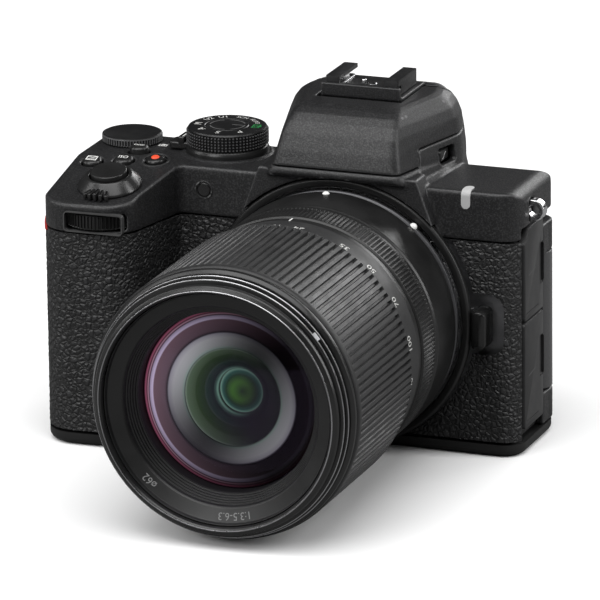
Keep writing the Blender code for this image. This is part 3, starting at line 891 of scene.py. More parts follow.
def rear_barrel():
    satin = satin_plastic("barrel_satin", 0.34)
    cone = [
        (33.2, 18.4),
        (34.3, 19.6),
        (34.75, 22.6),
        (34.75, 34.4),
        (34.3, 35.2),
        (34.3, 36.3),
        (32.7, 36.3),
        (32.7, 46.5),
        (34.35, 46.5),
        (34.35, 48.95),
        (31.6, 48.95),
        (31.6, 18.4),
    ]
    lens_piece("rear_barrel_shell", cone, satin, "camera_body", replaced=["lens_rear_barrel"])
    white = ink("white_mark", (0.8, 0.8, 0.78))
    bead("mounting_dot", -1.0, 22.9, 34.6, white)
    bead("flange_dot", 39.8, 17.2, 34.2, white)
    printed("zoom_index", [bar(0, -1.1, 0, 1.1, 0.45)], on_barrel(-2.0, 47.7, 34.42), white, "camera_body")


def control_ring():
    profile = [
        (34.3, 36.5),
        (34.75, 36.9),
        (34.75, 37.2, 0.0),
        (34.75, 37.6, 0.4),
        (34.75, 45.2, 0.4),
        (34.75, 45.6, 0.0),
        (34.75, 45.9),
        (34.3, 46.3),
        (32.9, 46.3),
        (32.9, 36.5),
    ]
    pattern = ((0.0, 0.0), (0.3, 0.0), (0.45, 0.6), (0.65, 1.0), (0.85, 0.6))
    wave = ribs(190, pattern)
    lens_piece(
        "control_ring_ribbed",
        profile,
        satin_plastic("ring_satin", 0.4),
        "control_ring",
        0,
        wave,
        ["control_ring"],
        0,
    )


def zoom_ring():
    profile = [
        (34.55, 49.2),
        (34.55, 59.0, 0.0),
        (36.0, 59.5, 0.0),
        (36.45, 60.0, 0.0),
        (36.5, 60.5, 0.9),
        (36.5, 96.9, 0.9),
        (36.5, 97.5, 0.0),
        (36.5, 98.6, 0.0),
        (36.3, 99.1, 0.0),
        (35.9, 99.4, 0.0),
        (33.2, 99.4, 0.0),
        (33.2, 49.2, 0.0),
    ]
    pattern = ((0.0, 0.0), (0.5, 0.0), (0.56, 0.3), (0.63, 1.0), (0.90, 1.0), (0.95, 0.3))
    wave = ribs(112, pattern)
    lens_piece("zoom_ring_ribbed", profile, rubber(), "zoom_ring", 0, wave, ["zoom_ring"], 0)
    white = ink("scale_white", (0.62, 0.62, 0.6))
    marks = (
        ("18", -4.5), ("24", 6.0), ("35", 28.0), ("50", 43.0), ("70", 60.5), ("100", 80.0), ("140", 99.0)
    )
    for number, angle in marks:
        word = shifted(text_shape(number, 3.0), 0, 0)
        printed(f"focal_{number}", [word], on_barrel(angle, 54.5, 34.63), white, "zoom_ring")


def front_barrel():
    satin = satin_plastic("front_satin", 0.3, 0.02)
    shell = [
        (35.9, 99.8),
        (36.1, 100.0),
        (36.0, 100.9),
        (35.2, 101.7),
        (33.6, 101.8),
        (33.6, 102.8),
        (34.9, 102.85),
        (34.9, 103.3),
        (33.3, 103.35),
        (33.3, 104.3),
        (34.25, 104.35),
        (34.25, 104.8),
        (33.0, 104.85),
        (33.0, 105.7),
        (33.5, 105.8),
        (33.1, 106.6),
        (32.2, 107.1),
        (31.7, 107.1),
        (31.3, 106.6),
        (31.1, 106.0),
        (31.0, 51.5),
        (32.6, 51.5),
        (32.6, 99.8),
    ]
    lens_piece("front_barrel_shell", shell, satin, "front_barrel", replaced=["front_barrel"], ease=0.16)


def filter_ring():
    rows = [(30.9, 105.6), (30.9, 98.0), (24.2, 98.0), (24.2, 98.9)]
    steps = 5
    for step in range(steps):
        radius = 24.3 + 2.2 * step / steps
        height = 99.2 + 3.4 * step / steps
        rows += [(radius, height), (radius + 0.3, height)]
    rows += [(26.6, 102.9), (27.0, 103.4), (30.4, 104.6), (30.7, 105.6)]
    lens_piece(
        "name_ring",
        rows,
        satin_plastic("name_ring_black", 0.42, 0.014),
        "front_barrel",
        replaced=["filter_ring"],
        ease=0.1,
    )


def glass_dome(name, radius, front, rise, back, finish, body, replaced=()):
    """A lens element: a dome of a radius whose middle is at front and whose rim is rise behind."""
    steps = 14
    dome = [(0.0, front)]
    dome += [(radius * k / steps, front - rise * (k / steps) ** 2) for k in range(1, steps + 1)]
    rows = dome + [(radius, back), (0.0, back)]
    return lens_piece(name, rows, finish, body, 96, None, replaced, 0)


def lens_glass():
    glass_dome(
        "front_element",
        24.0,
        99.6,
        4.2,
        94.0,
        clear_front("front_coating", (0.50, 0.40, 0.62)),
        "front_barrel",
        ["front_glass"],
    )
    cell = [(24.15, 98.6), (30.2, 98.0), (30.2, 92.2), (24.05, 92.2), (24.05, 94.6)]
    lens_piece("front_cell", cell, baffle_black(), "front_barrel", ease=0.1)
    # The rings of colour on the four elements below are painted reflections, and they glow.
    mauve = [
        (17.6, (0.02, 0.018, 0.022)),
        (18.4, (0.10, 0.065, 0.085)),
        (21.2, (0.14, 0.085, 0.11)),
        (21.5, (0.50, 0.42, 0.58)),
        (22.2, (0.34, 0.28, 0.40)),
        (22.5, (0.03, 0.015, 0.02)),
        (22.8, (0.42, 0.24, 0.32)),
        (23.1, (0.06, 0.02, 0.03)),
        (23.5, (0.34, 0.10, 0.17)),
        (23.9, (0.03, 0.008, 0.012)),
    ]
    outer = [(23.9, 95.25), (21.6, 95.5), (17.8, 95.1), (17.8, 93.0), (23.9, 93.0)]
    lens_piece(
        "outer_element",
        outer,
        painted_element_reflection("mauve_painted_reflection", mauve, "left", 2.0),
        "front_barrel",
        ease=0.1,
    )
    grey = [
        (13.0, (0.02, 0.02, 0.02)),
        (13.4, (0.20, 0.26, 0.24)),
        (14.0, (0.27, 0.28, 0.29)),
        (16.2, (0.34, 0.34, 0.36)),
        (17.3, (0.26, 0.25, 0.29)),
        (17.7, (0.03, 0.025, 0.035)),
    ]
    bowl = [(17.75, 95.0), (15.5, 94.5), (13.1, 94.2), (13.1, 93.4), (17.75, 93.6)]
    lens_piece(
        "second_element", bowl, painted_element_reflection("grey_painted_reflection", grey, "both"), "front_barrel", ease=0.1
    )
    dark_green = [
        (6.0, (0.006, 0.019, 0.012)),
        (6.3, (0.124, 0.236, 0.186)),
        (6.7, (0.031, 0.068, 0.056)),
        (7.2, (0.002, 0.009, 0.006)),
        (8.6, (0.006, 0.022, 0.014)),
        (8.9, (0.019, 0.037, 0.025)),
        (9.1, (0.006, 0.022, 0.004)),
        (10.8, (0.014, 0.040, 0.007)),
        (11.1, (0.037, 0.068, 0.028)),
        (12.6, (0.068, 0.112, 0.062)),
        (13.0, (0.161, 0.211, 0.167)),
    ]
    cone = [(13.05, 94.1), (10.6, 92.0), (8.2, 89.9), (6.0, 88.2), (6.0, 86.5), (13.05, 91.5)]
    lens_piece(
        "third_element",
        cone,
        painted_element_reflection("dark_painted_reflection", dark_green, "left", 1.5),
        "front_barrel",
        ease=0.1,
    )
    green = [
        (0.0, (0.007, 0.028, 0.005)),
        (2.4, (0.028, 0.093, 0.007)),
        (4.2, (0.004, 0.022, 0.007)),
        (5.2, (0.009, 0.056, 0.043)),
        (5.9, (0.136, 0.248, 0.198)),
    ]
    glass_dome(
        "centre_element",
        5.95,
        88.4,
        0.9,
        86.0,
        painted_element_reflection("green_painted_reflection", green, "round"),
        "front_barrel",
    )


def rim_lines():
    """Thin bright rings on the steps of the front rim."""
    for number, (radius, forward) in enumerate(((34.95, 103.1), (34.3, 104.6), (31.95, 107.15))):
        rows = [
            (radius + 0.12, forward - 0.2),
            (radius + 0.15, forward),
            (radius + 0.02, forward + 0.14),
            (radius - 0.16, forward + 0.12),
            (radius - 0.2, forward - 0.2),
        ]
        lens_piece(f"rim_line_{number}", rows, pale_metal(), "front_barrel", ease=0.04)
    grey = ink("name_grey", (0.22, 0.22, 0.22))
    for words, angle, size in (("1:3.5-6.3", 172.0, 2.7), ("\u00f862", 222.0, 2.7)):
        printed(
            "ring_" + words.replace(":", "_").replace("\u00f8", "filter_"),
            [text_shape(words, size)],
            on_name_ring(angle),
            grey,
            "front_barrel",
        )


def hood_stop():
    """The small bright stop between the two steps of the rim, where a hood would lock."""
    sections = []
    for step in range(5):
        turn = math.radians(49.0 + 0.9 * step)
        corners = ((33.2, 103.2), (34.75, 103.2), (34.3, 104.5), (33.2, 104.5))
        sections.append(
            [
                (
                    radius * math.sin(turn), -forward, LENS_Z + radius * math.cos(turn)
                ) for radius, forward in corners
            ]
        )
    swept("hood_stop", sections, pale_metal(), "front_barrel")


def on_name_ring(angle):
    """Where a mark's points go on the ring round the glass, with their tops outwards."""

    def onto(x, y):
        radius = 28.8 + y
        turn = math.radians(angle) + x / 28.8
        forward = 104.07 + y * 0.353
        return radius * math.sin(turn), -forward, LENS_Z + radius * math.cos(turn)

    return onto


def studio():
    """A pale floor and plain soft lights."""
    shape = bmesh.new()
    bmesh.ops.create_grid(shape, x_segments=4, y_segments=4, size=6.0)
    floor = bpy.data.objects.new("floor", tidy(shape, "floor"))
    bpy.context.scene.collection.objects.link(floor)
    pale = pale_floor()
    floor.data.materials.append(pale)
    bpy.context.scene.world = white_room()
    for light in LIGHTS:
        softbox(*light)
    bpy.context.scene.view_settings.view_transform = "Standard"


def pale_floor():
    """Pale matte paper that lights the object from below only a little."""
    pale = Shading("floor_pale", (0.95, 0.95, 0.95), 0.9, 0.0, 0.2)
    seen = pale.node("LightPath").outputs["Is Camera Ray"]
    pale.set("Base Color", pale.mixed(seen, (0.22, 0.22, 0.22), (0.95, 0.95, 0.95)))
    return pale.material


def white_room():
    """A white world that lights evenly, and that gloss sees as a dark room."""
    world = bpy.data.worlds.new("studio")
    world.use_nodes = True
    tree = world.node_tree
    backdrop = tree.nodes["Background"]
    backdrop.inputs["Color"].default_value = (1.0, 1.0, 1.0, 1.0)
    rays = tree.nodes.new("ShaderNodeLightPath")
    level = tree.nodes.new("ShaderNodeMapRange")
    level.inputs["To Min"].default_value = ROOM_WHITE
    level.inputs["To Max"].default_value = ROOM_DARK
    tree.links.new(rays.outputs["Is Glossy Ray"], level.inputs["Value"])
    tree.links.new(level.outputs["Result"], backdrop.inputs["Strength"])
    return world


ROOM_WHITE = 0.2
ROOM_DARK = 0.02


# Name, azimuth and elevation in degrees, distance, width and height in metres, and power in watts
LIGHTS = (
    ("top_softbox", 5.0, 68.0, 1.3, 1.5, 1.1, 19.0),
    ("front_softbox", -22.0, 27.0, 1.5, 0.8, 0.4, 6.0),
    ("left_softbox", -70.0, 30.0, 1.3, 0.3, 1.0, 4.0),
    ("right_softbox", 98.0, 28.0, 1.3, 0.3, 1.0, 7.0),
    ("back_softbox", 162.0, 21.0, 1.4, 1.0, 0.35, 7.0),
)


def softbox(name, azimuth, elevation, distance, width, height, power):
    """An area light that looks at the camera's middle."""
    data = bpy.data.lights.new(name, "AREA")
    data.shape = "RECTANGLE"
    data.size = width
    data.size_y = height
    data.energy = power
    made = bpy.data.objects.new(name, data)
    bpy.context.scene.collection.objects.link(made)
    turn, lift = math.radians(azimuth), math.radians(elevation)
    back = Vector((math.sin(turn) * math.cos(lift), -math.cos(turn) * math.cos(lift), math.sin(lift)))
    made.location = VIEW_TARGET + back * distance
    made.rotation_euler = (-back).to_track_quat("-Z", "Y").to_euler()


def camera():
    """The camera, at the photograph's angle and distance."""
    data = bpy.data.cameras.new("camera")
    data.lens = VIEW_LENS
    data.sensor_width = 36.0
    data.clip_end = 20.0
    made = bpy.data.objects.new("camera", data)
    bpy.context.scene.collection.objects.link(made)
    turn, lift = math.radians(VIEW_AZIMUTH), math.radians(VIEW_ELEVATION)
    back = Vector((math.sin(turn) * math.cos(lift), -math.cos(turn) * math.cos(lift), math.sin(lift)))
    made.location = VIEW_TARGET + back * VIEW_DISTANCE
    made.rotation_euler = (-back).to_track_quat("-Z", "Y").to_euler()
    made.rotation_euler.rotate_axis("Z", math.radians(VIEW_ROLL))
    bpy.context.scene.camera = made


# ---- The body's covers ----


def slope_down(made):
    """Tilts the top of a working object down over the grip, as the deck is."""
    shape = bmesh.new()
    shape.from_mesh(made.data)
    for corner, normal in (
        ((0, SLOPE_START, 0), (0, 1, 0)), ((-47, 0, 0), (1, 0, 0)), ((-52, 0, 0), (1, 0, 0))
    ):
        everything = shape.verts[:] + shape.edges[:] + shape.faces[:]
        bmesh.ops.bisect_plane(shape, geom=everything, plane_co=Vector(corner) * MM, plane_no=normal)
    shape.to_mesh(made.data)
    shape.free()
    for vert in made.data.vertices:
        x, y, z = vert.co / MM
        if y < SLOPE_START and z > SEAM:
            share = min(1.0, (z - SEAM) / (DECK - 2.0 - SEAM)) * min(1.0, max(0.0, (-47.0 - x) / 5.0))
            vert.co.z += SLOPE * (y - SLOPE_START) * share * MM
    return made


def body_block(low, high, depth, edge, rear=None):
    """A working solid of the body's outline, moved inwards, with a rounded upper edge."""
    corners = inset(BODY_CORNERS, depth)
    if rear is not None:
        corners = [(x, min(y, rear), radius) for x, y, radius in corners]
    rings = slab_rings(corners, low, high, edge, 5, 0.1, 10)
    return rough(loft_mesh("body_block", rings))


def rounded_off():
    """Working solids that round the deck's rear edge and its two ends."""
    rear = [(17.5, 40.0, 0.1), (17.5, DECK, 5.4), (-60.0, DECK, 0.1), (-60.0, 40.0, 0.1)]
    ends = [(49.3, 40.0, 0.1), (49.3, DECK, 3.9), (-77.5, DECK, 2.4), (-77.5, 40.0, 0.1)]
    return rough_prism(rear, -120, 120, "X", 10), rough_prism(ends, -120, 120, "Y", 10)


def hump_half(z):
    """Half the width of the viewfinder hump at a height: its sides run down to meet the lens mount."""
    return 50.3 - 0.37 * z


# Height, front Y, half of the front's width, rear Y and half of the widest width
HUMP_LEVELS = (
    (59.0, -10.0, 28.0, 24.0, 28.2),
    (73.0, -10.0, 23.3, 24.0, 24.9),
    (74.2, -17.8, 19.6, 24.0, 24.9),
    (75.4, -18.7, 18.9, 24.0, 24.9),
    (77.5, -18.2, 17.7, 24.0, 24.8),
    (81.5, -17.0, 16.8, 24.0, 24.3),
    (85.7, -15.2, 15.95, 24.0, 23.6),
    (88.4, -13.2, 15.2, 23.9, 22.4),
    (90.3, -10.8, 14.5, 23.6, 20.9),
    (91.4, -8.4, 13.9, 22.9, 19.2),
    (92.0, -5.5, 13.2, 21.8, 17.2),
)


def hump_block(depth):
    """A working solid of the viewfinder hump, moved inwards."""
    rings = []
    for z, front, half, rear, widest in HUMP_LEVELS:
        right = [(half, front, 2.6), (widest, 13.0, 9.0), (widest - 2.2, rear, 4.5)]
        corners = right + [(-x, y, radius) for x, y, radius in right[::-1]]
        lift = depth if z > 85.0 else 0.0
        rings.append((rounded(inset(corners, depth), 6), z - lift))
    return rough(loft_mesh("hump_block", rings))


def shoulders(low, high):
    """A working solid of the raised front round the mount, between two heights."""
    corners = [(hump_half(low), low, 0.05), (hump_half(high), high, 0.05)]
    corners += [(-hump_half(high), high, 0.05), (-hump_half(low), low, 0.05)]
    return rough_prism(corners, -16.4, -9.0, "Y", 1)


def flash_space(grow):
    """A working solid of the pop-up flash's space, as a side view. Its rear is round about the pivot."""
    corners = [
        (-30.0, 77.2 - grow, 0.1),
        (-7.4, 77.2 - grow, 0.5),
        (-6.4, 81.6 - grow, 0.9),
        (18.8, 81.6 - grow, 2.0),
        (21.1 + grow, 84.6 - grow, 3.0),
        (21.1 + grow, 90.0, 2.4),
        (17.8 + grow, 92.4 + grow, 1.0),
        (17.8 + grow, 99.0, 0.1),
        (-30.0, 99.0, 0.1),
    ]
    return rough_prism(corners, -40, 40, "X", 6)


def mount_drum(radius, low, high):
    return rough_drum(radius, low, high, (0, 0, LENS_Z), "Y", 144)


def top_cover():
    made = body_block(SEAM + 0.15, DECK, 0.0, 0.9)
    shaped(made, kept=rounded_off())
    slope_down(made)
    inner = slope_down(body_block(40.0, DECK - 2.0, 2.0, 0.3, 12.7))
    upper_shoulders = shoulders(SEAM + 0.15, 76.0)
    boss = rough_drum(12.0, 60.5, 73.5, (-38.8, 4.2, 0))
    hollow = shaped(hump_block(2.0), (), [rough_box((-60, -60, 50), (60, 60, 65.5))])
    room = [
        inner,
        hollow,
        flash_space(0.3),
        rough_box((-12.0, 0.0, 84.0), (12.0, 21.1, 99.0)),
        rough_box((-60, -60, 50), (60, 60, SEAM + 0.15)),
        mount_drum(37.3, 13.2, 40),
        rough_box((-10.3, 19, 75.7), (10.3, 40, 86.3), 1.5, "Y"),
        rough_box((-31.8, 14.7, 50), (39.6, 40, 63.6), 1.0, "Y"),
        rough_box((18.5, 2.2, 75.0), (26, 9.8, 79.3), 0.8, "X"),
        rough_box((-68.9, -50, 60.1), (-52.9, -30, 65.1), 0.7, "Y"),
        rough_drum(10.5, 60.1, 65.1, (-62.2, -28.5, 0)),
        rough_box((45.3, -3.1, 62.9), (53.3, 1.1, 69.9), 1.6, "X"),
        rough_box((-81.5, -3.1, 62.9), (-73.5, 1.1, 69.9), 1.6, "X"),
        rough_box((47.3, -8.4, 50), (60, 17, 62.7), 0.8, "X"),
        rough_drum(3.3, 60, 80, (-38.8, 4.2, 0)),
        rough_drum(3.3, 60, 80, (-67.3, 6.4, 0)),
    ]
    for name, x, y, radius in TOP_BUTTONS:
        room.append(tilted_drum(radius + 0.35, -20, 20, (x, y, deck(y))))
    for x in (27.5, 36.5):
        room.append(rough_drum(3.2, 13.5, 30, (x, 0, 67.3), "B"))
    shaped(made, [hump_block(0.0), upper_shoulders, boss], room)
    cast(made, 0.42, 5)
    dress(made, crackle_paint(), "camera_body", ["top_cover"], 0)
    made.name = "top_cover_shell"


# Name, X, Y and radius
TOP_BUTTONS = (
    ("shutter_button", -61.0, -25.5, 4.9),
    ("exposure_button", -71.0, -13.4, 2.7),
    ("iso_button", -62.8, -11.2, 2.7),
    ("record_button", -54.2, -9.6, 2.6),
    ("picture_button", -61.6, -2.9, 2.8),
)


def tilted_drum(radius, low, high, centre):
    """A working drum at right angles to the sloping deck."""
    made = rough_drum(radius, low, high, (0, 0, 0))
    tilt = TILT if centre[1] < SLOPE_START else 0.0
    for vert in made.data.vertices:
        vert.co.rotate(Quaternion((1, 0, 0), tilt))
        vert.co += Vector(centre) * MM
    return made


def front_cover():
    made = body_block(3.8, SEAM - 0.15, 1.1, 0.15)
    lobe = [(44.7, 28.7, 4.5), (44.7, 44.8, 4.5), (30.0, 44.8, 4.0), (30.0, 28.7, 4.0)]
    lobe_rings = [
        (
            rounded(inset(lobe, depth), 6), -9.5 - forward
        ) for depth, forward in ((0, 0), (0, 3.0), (0.5, 3.8), (1.4, 4.1))
    ]
    joined = [
        shoulders(LENS_Z, SEAM - 0.15),
        mount_drum(36.5, 9.0, 15.9),
        rough(loft_mesh("lobe", lobe_rings, "Y")),
    ]
    behind = rough_box((-90, 7.85, -9), (90, 60, 90))
    inside = rough(
        loft_mesh(
            "inside", [(rounded(inset(BODY_CORNERS, 3.0)), -10), (rounded(inset(BODY_CORNERS, 3.0)), 80)]
        )
    )
    room = [
        inside,
        mount_drum(33.9, 0, 30),
        behind,
        rough_box((47.3, -8.4, 6.6), (60, 17, 55.1), 0.8, "X"),
        rough_box((36.8, -30, 30.3), (41.9, 0, 41.9), 1.6, "Y"),
        rough_box((-90, -60, -9), (90, 60, 3.8)),
    ]
    for height in (43.0, 27.0):
        room.append(rough_drum(3.6, 0, 30, (-41.5, 0, height), "Y"))
    shaped(made, joined, room)
    cast(made, 0.42, 5)
    dress(made, crackle_paint(), "camera_body", ["front_cover"], 0)
    made.name = "front_cover_shell"


def bezel_band():
    """The dark ring round the mount."""
    rows = [(37.0, 14.0), (37.0, 15.6), (36.4, 16.2), (34.9, 16.0), (34.5, 15.4), (34.5, 14.0)]
    lens_piece("mount_bezel", rows, satin_plastic("bezel_black", 0.42, 0.012), "camera_body")


def flash_cap():
    made = hump_block(0.0)
    shaped(made, kept=[flash_space(0.0)])
    notch = rough_box((-12.0, 0.4, 60), (12.0, 40, 99), 0.3)
    pin = rough_drum(1.4, -14.4, 14.4, (0, 17.5, 88.5), "X")
    ears = []
    for low, high in ((12.4, 16.0), (-16.0, -12.4)):
        ears.append(rough_drum(3.3, low, high, (0, 17.5, 88.5), "X"))
    shaped(made, (), [hump_block(1.8), notch])
    shaped(made, ears, [pin])
    cast(made, 0.36, 4)
    dress(made, crackle_paint(), "flash", ["flash_cap"], 0)
    made.name = "flash_cap_shell"
    window = [(11.5, 82.4, 0.8), (11.5, 86.0, 0.8), (-11.5, 86.0, 0.8), (-11.5, 82.4, 0.8)]
    slab("flash_window_lens", window, -2.9, -0.5, flash_glass(), "flash", "Y", 0.3, replaced=["flash_window"])


def leather_sheet(name, path, low, high, holes, room, replaced):
    """A sheet of leatherette along a path in X and Y, with pebbled grain and holes (x, z, radius)."""
    step = 0.42
    line = resampled(path, step)
    outward = side_of(line)
    rows = int((high - low) / step)
    points = np.zeros((rows, len(line), 3))
    points[:, :, :2] = line
    points[:, :, 2] = np.linspace(low, high, rows)[:, None]
    height = np.array([[pebble(point) for point in row] for row in points])
    points[:, :, :2] += outward * height[:, :, None]
    flat = points.reshape(-1, 3)
    keep = np.ones(len(flat), bool)
    for x, z, radius in holes:
        away = flat[:, [0, 2]] - (x, z)
        distance = np.hypot(away[:, 0], away[:, 1])
        front = flat[:, 1] > -13.0
        near = (abs(distance - radius) < step * 0.5) & front
        flat[near, 0] = x + away[near, 0] / distance[near] * radius
        flat[near, 2] = z + away[near, 1] / distance[near] * radius
        keep &= ~((distance <= radius - step * 0.5) & front)
    faces = grid_faces(rows, len(line), False, False)
    made = rough(mesh_of(name, flat, faces[keep[faces].all(axis=1)], False))
    thick = made.modifiers.new("thickness", "SOLIDIFY")
    thick.thickness = 0.9 * MM
    thick.offset = -1.0
    settle(made)
    if room:
        shaped(made, (), room)
    dress(made, leather(), "camera_body", replaced, 60)
    made.name = name


def resampled(path, step):
    """Points at even steps along a path."""
    path = np.array(path)
    lengths = np.hypot(*np.diff(path, axis=0).T)
    along = np.concatenate([[0], np.cumsum(lengths)])
    places = np.linspace(0, along[-1], int(along[-1] / step) + 1)
    return np.stack([np.interp(places, along, path[:, k]) for k in (0, 1)], -1)


def side_of(line):
    """The unit vectors at right angles to a path, to its right."""
    along = np.gradient(line, axis=0)
    along /= np.hypot(along[:, 0], along[:, 1])[:, None]
    return np.stack([along[:, 1], -along[:, 0]], -1)


def pebble(point):
    """The height of the leather's grain at a point, in millimetres."""
    where = Vector(point) / 1.35
    where += noise.noise_vector(where * 0.9) * 0.35
    distances = noise.voronoi(where)[0]
    crease = min(1.0, (distances[1] - distances[0]) * 2.2)
    return 0.2 * (crease ** 0.6) * (0.75 + 0.25 * noise.noise(where * 2.3)) - 0.05


def leathers():
    steps = 12
    outline = rounded(BODY_CORNERS, steps)
    corner, _, _, grip, grip_inner, cheek = [
        outline[k:k + steps + 1] for k in range(0, 6 * (steps + 1), steps + 1)
    ]
    left = [(-77.5, 7.6), *grip, *grip_inner, *cheek, (0.0, -12.0)]
    holes = [(0, LENS_Z, 37.4), (-41.5, 43.0, 3.8), (-41.5, 27.0, 3.8)]
    leather_sheet("grip_leather", left, 4.3, 59.2, holes, (), ["grip_leatherette"])
    right = [(0.0, -12.0), *[point for point in corner if point[1] < -8.0]]
    lobe = [(45.1, 28.3, 4.5), (45.1, 45.2, 4.5), (20, 45.2, 4.5), (20, 28.3, 4.5)]
    room = [rough_prism(lobe, -20, -5, "Y")]
    leather_sheet("front_leather", right, 4.3, 59.2, holes[:1], room, ["front_leatherette"])


# ---- The controls on top ----


def straight(height):
    """Puts flat marks on a level surface, as read from behind the camera."""
    return lambda x, y: (x, y, height)


def lying(centre, height, turn=0.0):
    """Puts marks round a dial's centre, turned by an angle."""
    c, s = math.cos(math.radians(turn)), math.sin(math.radians(turn))
    return lambda x, y: (centre[0] + x * c - y * s, centre[1] + x * s + y * c, height)


def on_deck(x0, y0, rise):
    """Puts marks on top of a button that stands on the sloping deck."""
    c, s = math.cos(TILT), math.sin(TILT)

    def onto(x, y):
        if y0 >= SLOPE_START:
            return x0 + x, y0 + y, DECK + rise
        return x0 + x, y0 + y * c - rise * s, deck(y0) + y * s + rise * c

    return onto


MODE_DIAL = (-38.8, 4.2)
REAR_DIAL = (-67.3, 6.4)
SHUTTER = (-61.0, -25.5)


def mode_dial():
    rows = [
        (0.0, 80.5),
        (5.6, 80.5),
        (5.8, 80.35),
        (6.0, 80.35),
        (6.2, 80.5),
        (9.9, 80.5),
        (10.5, 80.3),
        (10.75, 79.9),
    ]
    height = 79.7
    for _ in range(5):
        rows += [
            (10.5, height, 0.0),
            (11.1, height - 0.22, 0.6),
            (11.1, height - 0.46, 0.6),
            (10.5, height - 0.68, 0.0),
        ]
        height -= 0.82
    rows += [(10.4, 75.5), (3.2, 75.5), (3.2, 66.0), (0.0, 66.0)]
    wave = ribs(70, ((0.0, 0.0), (0.34, 0.0), (0.5, 1.0), (0.84, 1.0)))
    plastic = knurled_plastic("dial_plastic", MODE_DIAL, 10.75, 11.05)
    lathe("mode_dial_knurled", rows, (*MODE_DIAL, 0), plastic, "mode_dial", "Z", 0, wave, ["mode_dial"], 0)
    white = ink("dial_white", (0.62, 0.62, 0.6))
    green = ink("dial_green", (0.01, 0.17, 0.04))
    marks = [
        ("M", -171, 2.9),
        ("A", -131, 2.9),
        ("S", -88, 2.9),
        ("P", -45, 2.9),
        ("AUTO", 42, 1.8),
        ("SCN", 80, 1.8),
        ("U1", 119, 2.4),
        ("U2", 151, 2.4),
    ]
    for word, angle, size in marks:
        shape = shifted(text_shape(word, size), 0, 7.9)
        printed(f"dial_mark_{word}", [shape], lying(MODE_DIAL, 80.53, angle - 90), white, "mode_dial")
    camera_mark = [
        frame_mark(-1.7, 6.9, 1.7, 9.0, 0.35), hoop(0, 7.95, 0.75, 0.4), bar(-0.5, 9.2, 0.5, 9.2, 0.4)
    ]
    printed("dial_mark_green", camera_mark, lying(MODE_DIAL, 80.53, 6 - 90), green, "mode_dial")
    arcs = [
        hoop(0, 0, 4.9, 4.55, start, start + 70) for start in (25, 115, 205, 295)
    ] + [bar(1.4, 0.2, 4.0, 0.2, 0.4)]
    printed(
        "dial_pointer", arcs, lying(MODE_DIAL, 80.53, 6), ink("dial_grey", (0.10, 0.10, 0.10)), "mode_dial"
    )


def selector_lever():
    rows = [(11.2, 73.3), (11.2, 74.4), (10.9, 75.2), (10.2, 75.6), (4.0, 75.6), (4.0, 73.3)]
    plastic = satin_plastic("lever_plastic", 0.34, 0.018)
    lathe(
        "selector_collar",
        rows,
        (*MODE_DIAL, 0),
        plastic,
        "photo_video_lever",
        "Z",
        96,
        None,
        ["photo_video_lever"],
        0.15,
    )
    arm = [(-48.0, 1.0, 0.6), (-48.0, 7.0, 0.6), (-54.6, 6.4, 1.4), (-54.9, 0.6, 1.4)]
    slab("selector_arm", arm, 73.5, 75.4, plastic, "photo_video_lever", edge=0.4)
    tab = [(-50.0, 0.8, 0.5), (-50.0, 6.6, 0.5), (-52.0, 6.4, 0.6), (-52.0, 0.7, 0.6)]
    slab("selector_tab", tab, 75.0, 77.0, plastic, "photo_video_lever", edge=0.5, low_edge=0.05)
    printed(
        "selector_line",
        [bar(-50.6, 1.4, -50.6, 6.0, 0.35)],
        straight(77.02),
        ink("lever_white", (0.7, 0.7, 0.68)),
        "photo_video_lever",
    )
    icon = [frame_mark(-1.2, -0.8, 1.2, 0.8, 0.3), hoop(0, 0, 0.55, 0.28), bar(-0.4, 1.0, 0.4, 1.0, 0.3)]
    printed(
        "still_icon",
        icon,
        lying((-57.6, 4.4), DECK + 0.03),
        ink("deck_white", (0.7, 0.7, 0.68)),
        "camera_body",
    )


def rear_dial():
    rows = [
        (0.0, 75.35),
        (7.3, 75.35),
        (7.7, 75.5),
        (8.1, 75.3),
        (8.2, 75.0, 0.0),
        (8.2, 74.85, 0.35),
        (8.2, 73.5, 0.35),
        (8.0, 73.3, 0.0),
    ]
    rows += [(3.2, 73.3), (3.2, 66.0), (0.0, 66.0)]
    wave = ribs(64, ((0.0, 0.0), (0.4, 0.0), (0.55, 1.0), (0.85, 1.0)))
    lathe(
        "rear_dial_ribbed",
        rows,
        (*REAR_DIAL, 0),
        knurled_plastic("rear_dial_plastic", REAR_DIAL, 8.0, 8.2),
        "rear_dial",
        "Z",
        0,
        wave,
        ["rear_dial"],
        0,
    )


def front_dial():
    rows = [
        (0.0, 64.7),
        (9.5, 64.7),
        (9.95, 64.4, 0.0),
        (10.0, 64.2, 0.5),
        (10.0, 61.0, 0.5),
        (9.95, 60.8, 0.0),
        (9.5, 60.5),
        (0.0, 60.5),
    ]
    wave = ribs(62, ((0.0, 0.0), (0.3, 0.0), (0.5, 1.0), (0.8, 1.0)))
    lathe(
        "front_dial_ribbed",
        rows,
        (-62.2, -28.5, 0),
        satin_plastic("front_dial_plastic", 0.36, 0.016),
        "front_dial",
        "Z",
        0,
        wave,
        ["front_dial"],
        0,
    )


def deck_lathe(name, rows, where, finish, body, steps=64, wave=None, replaced=(), ease=0.2):
    """A turned piece that stands at right angles to the deck."""
    made = lathe(name, rows, (0, 0, 0), finish, body, "Z", steps, wave, replaced, ease)
    x, y = where
    tilt = TILT if y < SLOPE_START else 0.0
    for vert in made.data.vertices:
        vert.co.rotate(Quaternion((1, 0, 0), tilt))
        vert.co += Vector((x, y, deck(y))) * MM
    return made


